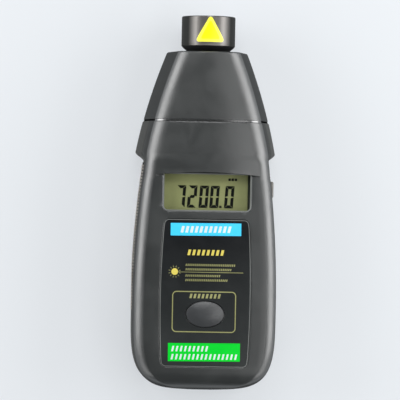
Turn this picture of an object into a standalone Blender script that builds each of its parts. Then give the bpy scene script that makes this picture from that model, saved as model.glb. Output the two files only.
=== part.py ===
import math

import bmesh
import bpy
from mathutils import Matrix, Vector

mm = 0.001

# The instrument lies on its back: X across, Y from the bottom end to the lens, Z out of the face.
# A station is a distance along the case, measured from its bottom end.

# Clearances
seat_gap = 0.3 * mm
slide_gap = 0.3 * mm
film_gap = 0.1 * mm
seam_gap = 0.5 * mm
overshoot = 1.0 * mm

# Cells
cell_count = 4
cell_diameter = 14.3 * mm
cell_length = 50.2 * mm
cell_spacing = 0.4 * mm
cell_nub_diameter = 5.4 * mm
cell_nub_length = 1.2 * mm
contact_thickness = 0.5 * mm
contact_width = 10.0 * mm
spring_length = 4.6 * mm
spring_base_radius = 4.0 * mm
spring_top_radius = 2.4 * mm
spring_wire = 0.7 * mm
spring_turns = 3

# Case walls and plan outline
wall = 2.2 * mm
case_side_room = 6.5 * mm
wide_station = 42.0 * mm
end_power = 4.1
end_station = 0.35 * mm
end_first_turn = 10
body_taper = 4.9 * mm
hook_rise = 5.1 * mm
hook_length = 4.8 * mm
shoulder_half_width = 34.9 * mm
shoulder_length = 15.8 * mm
cap_length = 34.4 * mm
head_half_width = 20.2 * mm
head_bow = 1.3 * mm
cap_step = 0.15 * mm
collar_length = 5.0 * mm
collar_root = 4.0 * mm
collar_wall = 1.6 * mm
bay_wall = 1.5 * mm

# Case heights and roundings
board_room = 5.7 * mm
parting_room = 3.9 * mm
brow_rise = 2.3 * mm
brow_arch = 1.5 * mm
brow_face = 0.15 * mm
brow_fade = 0.4
crown_power = 4
head_face_drop = 1.6 * mm
head_back_rise = 3.0 * mm
head_back_run = 5.6 * mm
parting_step = 0.15 * mm
widest_height = 12.0 * mm
body_flare = 0.1 * mm
head_flare = 4.4 * mm
edge_run = 5.5 * mm
edge_drop = 4.2 * mm
head_edge_run = 8.0 * mm
head_edge_drop = 5.2 * mm
edge_flatness = 0.45
back_fillet = 6.0 * mm
smallest_fillet = 0.6 * mm
edge_round = 0.7 * mm
fillet_steps = 5
crown_steps = 4
end_round_face = 9.0 * mm
end_round_back = 5.0 * mm

# Grip ribs on both sides of the rear shell
rib_pitch = 1.55 * mm
rib_width = 0.85 * mm
rib_proud = 0.4 * mm
rib_start = 39.5 * mm
rib_end_room = 1.0 * mm
rib_bottom = 7.5 * mm
rib_top = 18.0 * mm

# Lens barrel and optics
barrel_radius = 13.4 * mm
barrel_length = 14.8 * mm
barrel_height = 17.5 * mm
barrel_wall = 1.6 * mm
barrel_round = 0.6 * mm
neck_radius = 10.4 * mm
neck_length = 3.0 * mm
neck_flange = 1.6 * mm
neck_tail = 5.0 * mm
lens_thickness = 4.6 * mm
lens_edge = 1.8 * mm
lens_recess = 2.6 * mm
lens_ring_width = 1.4 * mm
lens_ring_depth = 1.6 * mm
laser_radius = 3.0 * mm
laser_length = 14.0 * mm
laser_offset = 4.0 * mm
sensor_radius = 2.3 * mm
sensor_length = 4.0 * mm
sensor_bevel = 0.7 * mm
sensor_offset = 4.4 * mm
optic_radius = 8.4 * mm
optic_length = 16.0 * mm
optic_setback = 6.0 * mm
sensor_board_width = 24.0 * mm
sensor_board_height = 20.0 * mm

# Display
window_width = 43.8 * mm
window_height = 18.8 * mm
window_room = 9.5 * mm
window_top_margin = 0.4 * mm
window_corner = 2.5 * mm
window_plate_rim = 1.2 * mm
window_plate_thickness = 1.4 * mm
cell_glass_thickness = 2.2 * mm
display_frame_rim = 1.6 * mm
display_stand = 2.8 * mm
strip_width = 2.2 * mm

# Overlay
overlay_bottom = 11.6 * mm
overlay_room = 4.1 * mm
overlay_wide = 45.0 * mm
overlay_narrow = 42.0 * mm
overlay_wide_station = 45.0 * mm
overlay_corner = 2.4 * mm
overlay_thickness = 0.4 * mm
overlay_recess = 0.45 * mm

# Buttons
memory_station = 37.7 * mm
memory_length = 18.8 * mm
memory_width = 12.8 * mm
memory_proud = 1.0 * mm
memory_dome = 1.1 * mm
memory_hole_gap = 0.7 * mm
memory_flange = 1.8 * mm
memory_travel = 1.0 * mm
test_rise = 11.3 * mm
test_length = 8.2 * mm
test_tall = 9.6 * mm
test_height = 13.0 * mm
test_proud = 1.8 * mm
test_chamfer = 0.9 * mm
test_flange = 1.6 * mm
test_travel = 1.2 * mm
flange_thickness = 1.5 * mm
switch_size = 6.2 * mm
switch_height = 3.2 * mm
plunger_radius = 1.75 * mm
plunger_reach = 2.3 * mm

# Boards and what they carry
board_thickness = 1.6 * mm
board_width = 52.0 * mm
board_bottom = 17.0 * mm
board_overhang = 3.1 * mm
chip_size = 14.0 * mm
chip_height = 2.0 * mm
chip_bevel = 0.4 * mm
chip_station = 58.0 * mm
crystal_size = (11.0 * mm, 4.4 * mm, 3.4 * mm)
crystal_bevel = 0.9 * mm
crystal_station = 69.5 * mm
capacitor_radius = 3.1 * mm
capacitor_height = 5.0 * mm
capacitor_place = (14.0 * mm, 24.0 * mm)

# Screws
case_screw_radius = 1.5 * mm
case_screw_head = 2.7 * mm
case_screw_head_height = 1.8 * mm
case_screw_room = 6.9 * mm
case_screw_sink = 6.0 * mm
boss_wall = 1.6 * mm
boss_sink = 0.5 * mm
lower_screw_x = 26.6 * mm
lower_screw_room = 1.1 * mm
upper_screw_x = 20.0 * mm
upper_screw_room = 4.7 * mm
board_screw_radius = 1.1 * mm
board_screw_head = 2.0 * mm
board_screw_head_height = 1.2 * mm
board_screw_length = 6.4 * mm
board_screw_place = (18.0 * mm, 58.0 * mm)

# Battery cover
cover_plate = 1.7 * mm
cover_tongue = 1.2 * mm
cover_tongue_reach = 1.4 * mm
cover_rail = 2.0 * mm
cover_end = 13.5 * mm
grip_groove_count = 6
grip_groove_pitch = 2.4 * mm
grip_groove_width = 1.1 * mm
grip_groove_depth = 0.5 * mm
grip_groove_length = 20.0 * mm
grip_station = 18.0 * mm

# Leads
lead_radius = 0.6 * mm
ribbon_radius = 0.9 * mm
lead_offset = 3.5 * mm
lead_run = 4.0 * mm

# Places worked out from the sizes above
pack_half_width = ((cell_count - 1) * (cell_diameter + cell_spacing) + cell_diameter) / 2
body_half_width = pack_half_width + case_side_room
cell_height = cover_plate + slide_gap + cell_diameter / 2
bay_ceiling = cell_height + cell_diameter / 2 + slide_gap
bay_start = cover_end + seat_gap
bay_length = cell_length + cell_nub_length + spring_length + 2 * (contact_thickness + 2 * seat_gap)
bay_end = bay_start + bay_length
bay_half_width = pack_half_width + slide_gap
parting_height = bay_ceiling + bay_wall + parting_room
board_back = bay_ceiling + bay_wall + board_room
board_face = board_back + board_thickness
glass_floor = board_face + display_stand
glass_top = glass_floor + cell_glass_thickness
window_plate_floor = glass_top + seat_gap
window_plate_top = window_plate_floor + window_plate_thickness
inner_face = window_plate_top + seat_gap
face_height = inner_face + wall
lower_screw_station = bay_end + bay_wall + lower_screw_room + case_screw_head + seat_gap + boss_wall
window_station = lower_screw_station + window_room
overlay_top = window_station - overlay_room
test_station = window_station + test_rise
brow_station = window_station + window_height + window_top_margin
board_top = brow_station + board_overhang
hook_station = brow_station + hook_rise
rib_end = hook_station - rib_end_room
shoulder_station = hook_station + hook_length
upper_screw_station = shoulder_station + upper_screw_room
seam_station = shoulder_station + shoulder_length
head_back_station = seam_station - head_back_run
head_station = seam_station + cap_length
case_length = head_station + neck_length + barrel_length
contact_floor = bay_start + seat_gap + contact_thickness + seat_gap
lead_hole_x = (cell_count - 1) / 2 * (cell_diameter + cell_spacing) - lead_offset
cover_half_width = bay_half_width - slide_gap
tongue_top = cover_plate + slide_gap + cover_tongue
rear_rim = parting_height - seam_gap / 2
front_rim = parting_height + seam_gap / 2
collar_inset = cap_step + wall + slide_gap
case_screw_seat = case_screw_sink - seat_gap
case_screw_tip = face_height - case_screw_room
case_screw_length = case_screw_tip - case_screw_seat
glass_half_width = window_width / 2 + window_plate_rim
glass_low = window_station - window_plate_rim
glass_high = brow_station - window_top_margin + window_plate_rim
lens_pocket = barrel_radius - barrel_wall
lens_rim_radius = lens_pocket - seat_gap
ring_inner = lens_rim_radius - lens_ring_width
barrel_bore = neck_radius - barrel_wall
barrel_top = neck_length + barrel_length
ring_floor = barrel_top - lens_recess - lens_ring_depth
lens_seat = ring_floor - seat_gap - lens_edge - seat_gap
flange_high = -wall - seat_gap
flange_low = flange_high - neck_flange
tail_end = flange_low - neck_tail / 4
optic_front = lens_seat - optic_setback
optic_back = optic_front - optic_length


def tone(red, green, blue):
    """Linear colour of a paint or plastic that is measured on a 0 to 255 scale."""
    values = []
    for part in (red, green, blue):
        share = part / 255
        values.append(share / 12.92 if share <= 0.04045 else ((share + 0.055) / 1.055) ** 2.4)
    return (*values, 1.0)


# Finish: colour, roughness, metallic
finishes = {
    "case_plastic": (tone(68, 72, 72), 0.45, 0.0),
    "rear_plastic": (tone(58, 61, 61), 0.5, 0.0),
    "barrel_metal": (tone(120, 116, 113), 0.35, 0.6),
    "overlay_film": (tone(28, 33, 36), 0.35, 0.0),
    "button_plastic": (tone(72, 75, 78), 0.4, 0.0),
    "side_button_plastic": (tone(108, 108, 104), 0.5, 0.0),
    "clear_plastic": (tone(225, 230, 225), 0.08, 0.0),
    "lens_glass": (tone(220, 228, 232), 0.05, 0.0),
    "display_cell": (tone(125, 130, 90), 0.3, 0.0),
    "inner_plastic": (tone(40, 41, 42), 0.55, 0.0),
    "rubber": (tone(150, 80, 90), 0.8, 0.0),
    "board_laminate": (tone(30, 92, 52), 0.5, 0.0),
    "chip_resin": (tone(28, 28, 30), 0.6, 0.0),
    "bright_steel": (tone(190, 190, 188), 0.3, 1.0),
    "dark_steel": (tone(70, 70, 72), 0.4, 1.0),
    "brass": (tone(190, 150, 80), 0.3, 1.0),
    "cell_jacket": (tone(60, 90, 130), 0.35, 0.3),
    "can_sleeve": (tone(32, 40, 84), 0.4, 0.0),
    "red_wire": (tone(170, 30, 28), 0.6, 0.0),
    "black_wire": (tone(26, 26, 26), 0.6, 0.0),
    "ribbon_cable": (tone(150, 150, 150), 0.6, 0.0),
}


def clear_scene():
    for item in list(bpy.data.objects):
        bpy.data.objects.remove(item, do_unlink=True)


def finish_material(finish):
    """The finish's material, made on its first use."""
    material = bpy.data.materials.get(finish)
    if material is None:
        material = bpy.data.materials.new(finish)
        material.use_nodes = True
        shader = material.node_tree.nodes["Principled BSDF"]
        colour, roughness, metallic = finishes[finish]
        shader.inputs["Base Color"].default_value = colour
        shader.inputs["Roughness"].default_value = roughness
        shader.inputs["Metallic"].default_value = metallic
    return material


def place(station):
    """Y of a station, so that the case is centred on the origin."""
    return station - case_length / 2


def smooth(value, low, high):
    """0 below low, 1 above high, and a smooth step between."""
    share = min(max((value - low) / (high - low), 0.0), 1.0)
    return share * share * (3 - 2 * share)


# Making and joining meshes


def add_object(name, bm, finish, place_at=(0, 0, 0), sharp_angle=35):
    """Object of a closed mesh, whose points are measured from place_at."""
    bmesh.ops.recalc_face_normals(bm, faces=bm.faces)
    mesh = bpy.data.meshes.new(name)
    bm.to_mesh(mesh)
    bm.free()
    mesh.shade_smooth()
    mesh.set_sharp_from_angle(angle=math.radians(sharp_angle))
    mesh.materials.append(finish_material(finish))
    item = bpy.data.objects.new(name, mesh)
    item.location = place_at
    bpy.context.collection.objects.link(item)
    return item


def combine(target, other, operation):
    """Boolean of a target and a guide body, which stays hidden from renders."""
    other.hide_render = True
    other.display_type = "WIRE"
    modifier = target.modifiers.new(other.name, "BOOLEAN")
    modifier.operation = operation
    modifier.solver = "EXACT"
    modifier.object = other


def join(target, other):
    combine(target, other, "UNION")


def cut(target, other):
    combine(target, other, "DIFFERENCE")


def soften(item, width, segments=2):
    """Small bevel on the edges that are sharper than 40 degrees."""
    modifier = item.modifiers.new("soft_edges", "BEVEL")
    modifier.width = width
    modifier.segments = segments
    modifier.limit_method = "ANGLE"
    modifier.angle_limit = math.radians(40)


def ring_faces(bm, lower, upper):
    """Quads between two closed rings of points, or triangles to a single point."""
    count = max(len(lower), len(upper))
    for index in range(count):
        after = (index + 1) % count
        if len(lower) == 1:
            bm.faces.new((lower[0], upper[after], upper[index]))
        elif len(upper) == 1:
            bm.faces.new((lower[index], lower[after], upper[0]))
        else:
            bm.faces.new((lower[index], lower[after], upper[after], upper[index]))


def loft_mesh(rings):
    """Closed mesh through rings of points, capped at both ends."""
    bm = bmesh.new()
    rows = [[bm.verts.new(point) for point in ring] for ring in rings]
    for lower, upper in zip(rows, rows[1:]):
        ring_faces(bm, lower, upper)
    for end in (rows[0], rows[-1]):
        if len(end) > 2:
            bm.faces.new(end)
    return bm


def block_mesh(low, high):
    """Box between two corners."""
    bm = bmesh.new()
    bmesh.ops.create_cube(bm, size=1.0)
    size = [b - a for a, b in zip(low, high)]
    middle = [(a + b) / 2 for a, b in zip(low, high)]
    bmesh.ops.scale(bm, vec=size, verts=bm.verts)
    bmesh.ops.translate(bm, vec=middle, verts=bm.verts)
    return bm


def add_block(name, low, high, finish="inner_plastic"):
    return add_object(name, block_mesh(low, high), finish)


def axis_turn(axis):
    """Rotation that takes +Z to the named axis."""
    target = {"X": Vector((1, 0, 0)), "Y": Vector((0, 1, 0)), "Z": Vector((0, 0, 1))}[axis]
    return Vector((0, 0, 1)).rotation_difference(target).to_matrix().to_4x4()


def turned_mesh(profile, segments=32, bored=False, axis="Z"):
    """Turned body of (radius, height) points; a bored one's profile is a closed loop."""
    rings = []
    for radius, height in profile:
        if radius == 0:
            rings.append([(0, 0, height)])
            continue
        turns = [2 * math.pi * index / segments for index in range(segments)]
        rings.append([(radius * math.cos(a), radius * math.sin(a), height) for a in turns])
    if bored:
        bm = bmesh.new()
        rows = [[bm.verts.new(point) for point in ring] for ring in rings]
        for lower, upper in zip(rows, rows[1:] + rows[:1]):
            ring_faces(bm, lower, upper)
    else:
        bm = loft_mesh(rings)
    bmesh.ops.transform(bm, matrix=axis_turn(axis), verts=bm.verts)
    return bm


def add_pin(name, radius, low, high, across, finish="inner_plastic", axis="Z", segments=14):
    """Round pin along an axis from low to high, at a place across that axis."""
    bm = turned_mesh([(radius, 0), (radius, high - low)], segments, axis=axis)
    if axis == "Z":
        start = (across[0], across[1], low)
    elif axis == "Y":
        start = (across[0], low, across[1])
    else:
        start = (low, across[0], across[1])
    return add_object(name, bm, finish, start)


def stack_mesh(layers, axis="Z"):
    """Closed mesh through flat loops, each given as (points, height) along an axis."""
    rings = []
    for points, height in layers:
        if axis == "Z":
            rings.append([(u, v, height) for u, v in points])
        elif axis == "Y":
            rings.append([(u, height, v) for u, v in points])
        else:
            rings.append([(height, u, v) for u, v in points])
    return loft_mesh(rings)


def ellipse(half_length, half_width, segments=32):
    turns = [2 * math.pi * index / segments for index in range(segments)]
    return [(half_length * math.cos(a), half_width * math.sin(a)) for a in turns]


def corner_arc(middle, radius, first_turn, steps):
    """Quarter circle of points, anticlockwise from a turn in degrees."""
    points = []
    for index in range(steps + 1):
        turn = math.radians(first_turn + 90 * index / steps)
        points.append((middle[0] + radius * math.cos(turn), middle[1] + radius * math.sin(turn)))
    return points


def rounded_loop(low, high, low_radius, high_radius, steps=4):
    """Rectangle of rounded corners, with one radius at each end of its second axis."""
    points = corner_arc((low[0] + low_radius, low[1] + low_radius), low_radius, 180, steps)
    points += corner_arc((high[0] - low_radius, low[1] + low_radius), low_radius, 270, steps)
    points += corner_arc((high[0] - high_radius, high[1] - high_radius), high_radius, 0, steps)
    points += corner_arc((low[0] + high_radius, high[1] - high_radius), high_radius, 90, steps)
    return points


# Case outline


def mix(low, high, share):
    return low + (high - low) * share


def half_width(station):
    """Half the width of the case at its widest height, ribs left out."""
    if station < wide_station:
        away = 1 - max(station, end_station) / wide_station
        return body_half_width * (1 - away**end_power) ** (1 / end_power)
    along = (station - wide_station) / (hook_station - wide_station)
    body = body_half_width - body_taper * along**2
    up = (station - shoulder_station) / (head_station - shoulder_station)
    head = mix(shoulder_half_width, head_half_width, up) + 4 * head_bow * up * (1 - up)
    return mix(body, head, smooth(station, hook_station, shoulder_station))


def flare(station):
    """How far the side leans out from the soft edge down to the widest height."""
    return mix(body_flare, head_flare, smooth(station, hook_station, shoulder_station))


def edge_at(station):
    """Run and drop of the soft edge between the face and the side, larger on the head."""
    share = smooth(station, hook_station, shoulder_station)
    return mix(edge_run, head_edge_run, share), mix(edge_drop, head_edge_drop, share)


def soft_edge(corner, run, drop):
    """Points from the side up to the face: a rounding pressed part way towards its chord."""
    points = []
    for index in range(fillet_steps + 1):
        share = index / fillet_steps
        turn = math.radians(90 * share)
        out = mix(math.cos(turn), 1 - share, edge_flatness)
        up = mix(math.sin(turn), share, edge_flatness)
        points.append((corner[0] - run * (1 - out), corner[1] - drop * (1 - up)))
    return points


def end_rounding(station, radius):
    """What the rounding of the bottom end takes off a height."""
    inward = max(radius - max(station, end_station), 0.0)
    return radius - math.sqrt(radius**2 - inward**2)


def face_at(station):
    """Height of the face, its crown left out."""
    up = max(station - shoulder_station, 0.0) / (head_station - shoulder_station)
    return face_height - head_face_drop * up - end_rounding(station, end_round_face)


def back_at(station):
    """Height of the back."""
    up = max(station - head_back_station, 0.0) / (head_station - head_back_station)
    return head_back_rise * up + end_rounding(station, end_round_back)


def side_at(station, height):
    """X of the side at a height between the widest line and the soft edge."""
    straight = face_at(station) - edge_at(station)[1] - widest_height
    share = min(max((height - widest_height) / straight, 0.0), 1.0)
    return half_width(station) - flare(station) * share


def front_points(station, inset, rim, crown, step, parts=crown_steps):
    """Right half of the section above the rim, from the side to the middle of the face."""
    top = face_at(station) - inset
    run, drop = (max(size - inset, smallest_fillet) for size in edge_at(station))
    drop = min(drop, 0.9 * (top - rim))
    side = side_at(station, top - drop) - step - inset
    points = [(side_at(station, rim) - step - inset, rim)]
    points += soft_edge((side, top), run, drop)
    edge = side - run
    for index in range(1, parts + 1):
        x = edge * (1 - index / parts)
        points.append((x, top + crown * (1 - (x / edge) ** crown_power)))
    return points


def rear_points(station, inset, rim):
    """Right half of the section below the rim, from the edge of the flat back to the side."""
    low = back_at(station) + inset
    radius = min(max(back_fillet - inset, smallest_fillet), 0.9 * (widest_height - low))
    side = half_width(station) - inset
    points = corner_arc((side - radius, low + radius), radius, 270, fillet_steps)
    points.append((side, widest_height))
    points.append((side_at(station, rim) - inset, rim))
    return points


def inner_station(station, inset):
    """Station whose section, inset, keeps the wall's thickness round the bottom end."""
    return station - inset * max(1 - station / wide_station, 0.0)


def case_ring(part, station, inset=0.0, rim=None, crown=0.0, arch=0.0):
    """Closed ring of the front shell, the rear shell or the whole case at a station."""
    source = inner_station(station, inset)
    if part == "front":
        if rim is None:
            right = front_points(source, inset, front_rim, crown, parting_step)
        else:
            right = front_points(source, inset, rim, crown, parting_step, parts=1)
    elif part == "rear":
        right = rear_points(source, inset, rear_rim if rim is None else rim)
    else:
        right = rear_points(source, inset, parting_height)[:-1]
        right += front_points(source, inset, parting_height, crown, 0.0)
    left = [(-x, z) for x, z in reversed(right) if x > 0]
    edge = half_width(source) - flare(source) - edge_at(source)[0]
    ring = []
    for x, z in right + left:
        y = place(station) - arch * min(abs(x) / edge, 1.0) ** 2
        ring.append((x, y, z))
    return ring


def head_crown(station):
    """Crown of the face above the brow, which falls away towards the lens."""
    up = (station - brow_station) / (head_station - brow_station)
    return brow_rise * (1 - brow_fade * up)


def end_stations(count, first=0.0):
    """Stations of the rounded end, spread evenly round its turn."""
    reach = wide_station - first
    stations = [first]
    for index in range(1, count + 1):
        turn = math.radians(mix(end_first_turn, 90, index / count))
        stations.append(first + reach * (1 - max(math.cos(turn), 0.0) ** (2 / end_power)))
    return stations


def hook_stations(count):
    step = (shoulder_station - hook_station) / count
    return [hook_station + step * index for index in range(count + 1)]


def add_case_body(name, part, rows, finish="case_plastic"):
    """Loft of case rings, each row being the keyword values of one ring."""
    rings = [case_ring(part, **row) for row in rows]
    return add_object(name, loft_mesh(rings), finish, sharp_angle=28)


def front_rows():
    """Rings of the front shell's outside, with the brow as a step between two rings."""
    shell_end = seam_station - seam_gap / 2
    body = end_stations(10) + [mix(wide_station, brow_station, share) for share in (0.3, 0.6, 0.85)]
    rows = [{"station": station} for station in body]
    rows.append({"station": brow_station, "arch": brow_arch})
    rows.append({"station": brow_station + brow_face, "arch": brow_arch, "crown": head_crown(brow_station)})
    above = hook_stations(5) + [mix(shoulder_station, shell_end, 0.5), shell_end - edge_round]
    rows += [{"station": station, "crown": head_crown(station)} for station in above]
    rows.append({"station": shell_end, "inset": edge_round / 2, "crown": head_crown(shell_end)})
    return rows


def rear_rows():
    shell_end = seam_station - seam_gap / 2
    body = end_stations(10) + [mix(wide_station, hook_station, share) for share in (0.33, 0.66)]
    above = hook_stations(5) + [head_back_station, shell_end - edge_round]
    rows = [{"station": station} for station in body + above]
    rows.append({"station": shell_end, "inset": edge_round / 2})
    return rows


def cavity_rows(inset, rim):
    """Rings of a shell's hollow, up to the root of the collar."""
    stations = end_stations(5, wall) + [mix(wide_station, hook_station, 0.5)]
    stations += hook_stations(3) + [head_back_station, seam_station - collar_root]
    return [{"station": station, "inset": inset, "rim": rim} for station in stations]


def collar_rows(inset, rim, low, high):
    """Rings at both ends of the collar that the head cap slips over."""
    rows = []
    for station in (low, high):
        rows.append({"station": station, "inset": inset, "rim": rim})
    return rows


# Places and outlines inside the case


def case_screw_places():
    places = []
    for x, station in ((lower_screw_x, lower_screw_station), (upper_screw_x, upper_screw_station)):
        places += [(-x, place(station)), (x, place(station))]
    return places


def board_screw_places():
    x, station = board_screw_place
    return [(-x, place(station)), (x, place(station))]


def overlay_loop(grow):
    """Outline of the printed overlay, which is widest below its middle, grown by a clearance."""
    low = overlay_bottom - grow
    high = overlay_top + grow
    radius = overlay_corner + grow

    def half_at(station):
        away = (station - overlay_wide_station) / (overlay_top - overlay_wide_station)
        return overlay_wide / 2 - (overlay_wide - overlay_narrow) / 2 * away**2 + grow

    right = corner_arc((half_at(low) - radius, place(low) + radius), radius, 270, 3)
    right += [(half_at(mix(low, high, share)), place(mix(low, high, share))) for share in (0.25, 0.45, 0.7)]
    right += corner_arc((half_at(high) - radius, place(high) - radius), radius, 0, 3)
    return right + [(-x, y) for x, y in reversed(right)]


def memory_loop(grow):
    """Oval of the memory button, grown by a clearance."""
    oval = ellipse(memory_length / 2 + grow, memory_width / 2 + grow)
    return [(x, y + place(memory_station)) for x, y in oval]


def test_loop(grow):
    """Outline of the side button on the case's side, grown by a clearance."""
    half_long = test_length / 2 + grow
    half_tall = test_tall / 2 + grow
    corner = test_chamfer + grow
    middle = place(test_station)
    low = (middle - half_long, test_height - half_tall)
    high = (middle + half_long, test_height + half_tall)
    return rounded_loop(low, high, corner, corner, steps=2)


def guide_prism(name, points, low, high):
    return add_object(name, stack_mesh([(points, low), (points, high)]), "inner_plastic")


# Shells


def add_front_shell():
    shell = add_case_body("front_shell", "front", front_rows())
    low = seam_station - collar_root
    high = seam_station + collar_length
    open_rim = front_rim - overshoot
    collar = collar_rows(collar_inset, front_rim, low + overshoot, high)
    join(shell, add_case_body("front_collar", "front", collar))
    cut(shell, add_case_body("front_hollow", "front", cavity_rows(wall, open_rim)))
    throat = collar_rows(collar_inset + collar_wall, open_rim, low - overshoot, high + overshoot)
    cut(shell, add_case_body("front_throat", "front", throat))
    add_front_bosses(shell)
    face_top = face_height + overshoot
    window_low = (-window_width / 2, place(window_station))
    window_high = (window_width / 2, place(brow_station - window_top_margin))
    window = rounded_loop(window_low, window_high, window_corner, film_gap)
    cut(shell, guide_prism("window_cut", window, inner_face - overshoot, face_height + film_gap))
    cut(shell, guide_prism("overlay_cut", overlay_loop(film_gap), face_height - overlay_recess, face_top))
    cut(shell, guide_prism("memory_cut", memory_loop(memory_hole_gap), inner_face - overshoot, face_top))
    return shell


def add_front_bosses(shell):
    """Screw posts that hang from the inside of the face."""
    top = inner_face + boss_sink
    case_hole = case_screw_radius + seat_gap
    for number, across in enumerate(case_screw_places(), 1):
        post = add_pin(f"front_post_{number}", case_hole + boss_wall, front_rim, top, across)
        join(shell, post)
        hole_top = case_screw_tip + seat_gap
        cut(shell, add_pin(f"front_hole_{number}", case_hole, front_rim - overshoot, hole_top, across))
    board_hole = board_screw_radius + seat_gap
    for number, across in enumerate(board_screw_places(), 1):
        low = board_face + seat_gap
        join(shell, add_pin(f"board_post_{number}", board_hole + boss_wall, low, top, across))
        hole_top = board_back - seat_gap + board_screw_length + seat_gap
        cut(shell, add_pin(f"board_hole_{number}", board_hole, low - overshoot, hole_top, across))


def rib_stations(side):
    """Stations of the grip ribs; they stop short of the side button."""
    count = int((rib_end - rib_start) / rib_pitch) + 1
    stations = [rib_start + index * rib_pitch for index in range(count)]
    button_room = test_length / 2 + rib_pitch
    return [s for s in stations if side < 0 or abs(s - test_station) > button_room]


def add_ribs(shell):
    bm = bmesh.new()
    for side in (-1, 1):
        for station in rib_stations(side):
            foot = half_width(station) - wall / 2
            crest = half_width(station) + rib_proud
            section = [(foot, -0.5), (crest, -0.25), (crest, 0.25), (foot, 0.5)]
            points = [(side * x, place(station) + share * rib_width) for x, share in section]
            low = [bm.verts.new((x, y, rib_bottom)) for x, y in points]
            high = [bm.verts.new((x, y, rib_top)) for x, y in points]
            ring_faces(bm, low, high)
            bm.faces.new(low)
            bm.faces.new(high)
    join(shell, add_object("grip_ribs", bm, "rear_plastic"))


def add_rear_shell():
    shell = add_case_body("rear_shell", "rear", rear_rows(), "rear_plastic")
    low = seam_station - collar_root
    high = seam_station + collar_length
    open_rim = rear_rim + overshoot
    collar = collar_rows(collar_inset, rear_rim, low + overshoot, high)
    join(shell, add_case_body("rear_collar", "rear", collar))
    add_ribs(shell)
    cut(shell, add_case_body("rear_hollow", "rear", cavity_rows(wall, open_rim)))
    throat = collar_rows(collar_inset + collar_wall, open_rim, low - overshoot, high + overshoot)
    cut(shell, add_case_body("rear_throat", "rear", throat))
    add_cell_bay(shell)
    add_rear_bosses(shell)
    side = half_width(test_station)
    opening = test_loop(slide_gap)
    layers = [(opening, side - 2 * wall), (opening, side + wall)]
    cut(shell, add_object("test_cut", stack_mesh(layers, "X"), "inner_plastic"))
    return shell


def add_cell_bay(shell):
    """Walls round the cells, the bay inside them, and the tracks that the cover slides in."""
    outer = cover_half_width + cover_tongue_reach + slide_gap + bay_wall / 2
    low = (-outer, place(bay_start - bay_wall), wall - bay_wall / 2)
    high = (outer, place(bay_end + bay_wall), bay_ceiling + bay_wall)
    join(shell, add_block("bay_block", low, high))
    low = (-bay_half_width, place(bay_start), -overshoot)
    high = (bay_half_width, place(bay_end), bay_ceiling)
    cut(shell, add_block("bay_cut", low, high))
    track = cover_half_width + cover_tongue_reach + slide_gap
    reach = body_half_width + overshoot
    start = place(0) - overshoot
    strip_end = place(bay_start + seat_gap)
    wide_end = strip_end + film_gap
    track_end = place(bay_end - seat_gap)
    right = [(reach, start), (reach, wide_end), (track, wide_end), (track, track_end)]
    plan = right + [(-x, y) for x, y in reversed(right)]
    cut(shell, guide_prism("track_cut", plan, cover_plate, tongue_top + slide_gap))
    high = (reach, strip_end, cover_plate + cover_tongue / 2)
    cut(shell, add_block("cover_end_cut", (-reach, start, -overshoot), high))
    for side in (-1, 1):
        across = (side * lead_hole_x, cell_height)
        start = place(bay_end - overshoot)
        end = place(bay_end + bay_wall + overshoot)
        cut(shell, add_pin(f"lead_cut_{side + 2}", lead_radius + slide_gap, start, end, across, axis="Y"))


def add_rear_bosses(shell):
    """Posts for the case screws, sunk from the back."""
    hole = case_screw_radius + seat_gap
    head_hole = case_screw_head + seat_gap
    for number, across in enumerate(case_screw_places(), 1):
        post = add_pin(f"rear_post_{number}", head_hole + boss_wall, wall / 2, rear_rim, across)
        join(shell, post)
        cut(shell, add_pin(f"rear_sink_{number}", head_hole, -overshoot, case_screw_sink, across))
        top = rear_rim + overshoot
        cut(shell, add_pin(f"rear_hole_{number}", hole, case_screw_sink - overshoot, top, across))


def add_head_cap():
    """Tapered cap over the collar, with the hole that the barrel passes through."""
    low = seam_station + seam_gap / 2
    stations = [low + (head_station - low) * share for share in (0, 0.3, 0.6, 0.85)]
    rows = [{"station": s, "inset": cap_step, "crown": head_crown(s)} for s in stations]
    for back, inset in ((edge_round, 0.0), (edge_round / 4, edge_round / 4), (0.0, edge_round)):
        station = head_station - back
        rows.append({"station": station, "inset": cap_step + inset, "crown": head_crown(station)})
    cap = add_case_body("head_cap", "whole", rows)
    stations = (low - overshoot, (low + head_station) / 2, head_station - wall)
    inset = cap_step + wall
    hollow = [{"station": s, "inset": inset, "crown": head_crown(s)} for s in stations]
    cut(cap, add_case_body("cap_hollow", "whole", hollow))
    start = place(head_station - 2 * wall)
    end = place(head_station + wall)
    across = (0, barrel_height)
    cut(cap, add_pin("neck_cut", neck_radius + slide_gap, start, end, across, axis="Y", segments=48))
    return cap


# Lens barrel and what it holds


def add_lens_barrel():
    flange = neck_radius + neck_flange
    profile = [
        (barrel_bore, tail_end),
        (neck_radius, tail_end),
        (neck_radius, flange_low),
        (flange, flange_low),
        (flange, flange_high),
        (neck_radius, flange_high),
        (neck_radius, seat_gap),
        (barrel_radius - barrel_round / 2, neck_length - barrel_round / 3),
        (barrel_radius, neck_length + barrel_round / 2),
        (barrel_radius, barrel_top - barrel_round),
        (barrel_radius - barrel_round, barrel_top),
        (lens_pocket, barrel_top),
        (lens_pocket, lens_seat),
        (barrel_bore, lens_seat),
    ]
    bm = turned_mesh(profile, 40, bored=True, axis="Y")
    return add_object("lens_barrel", bm, "barrel_metal", (0, place(head_station), barrel_height))


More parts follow.
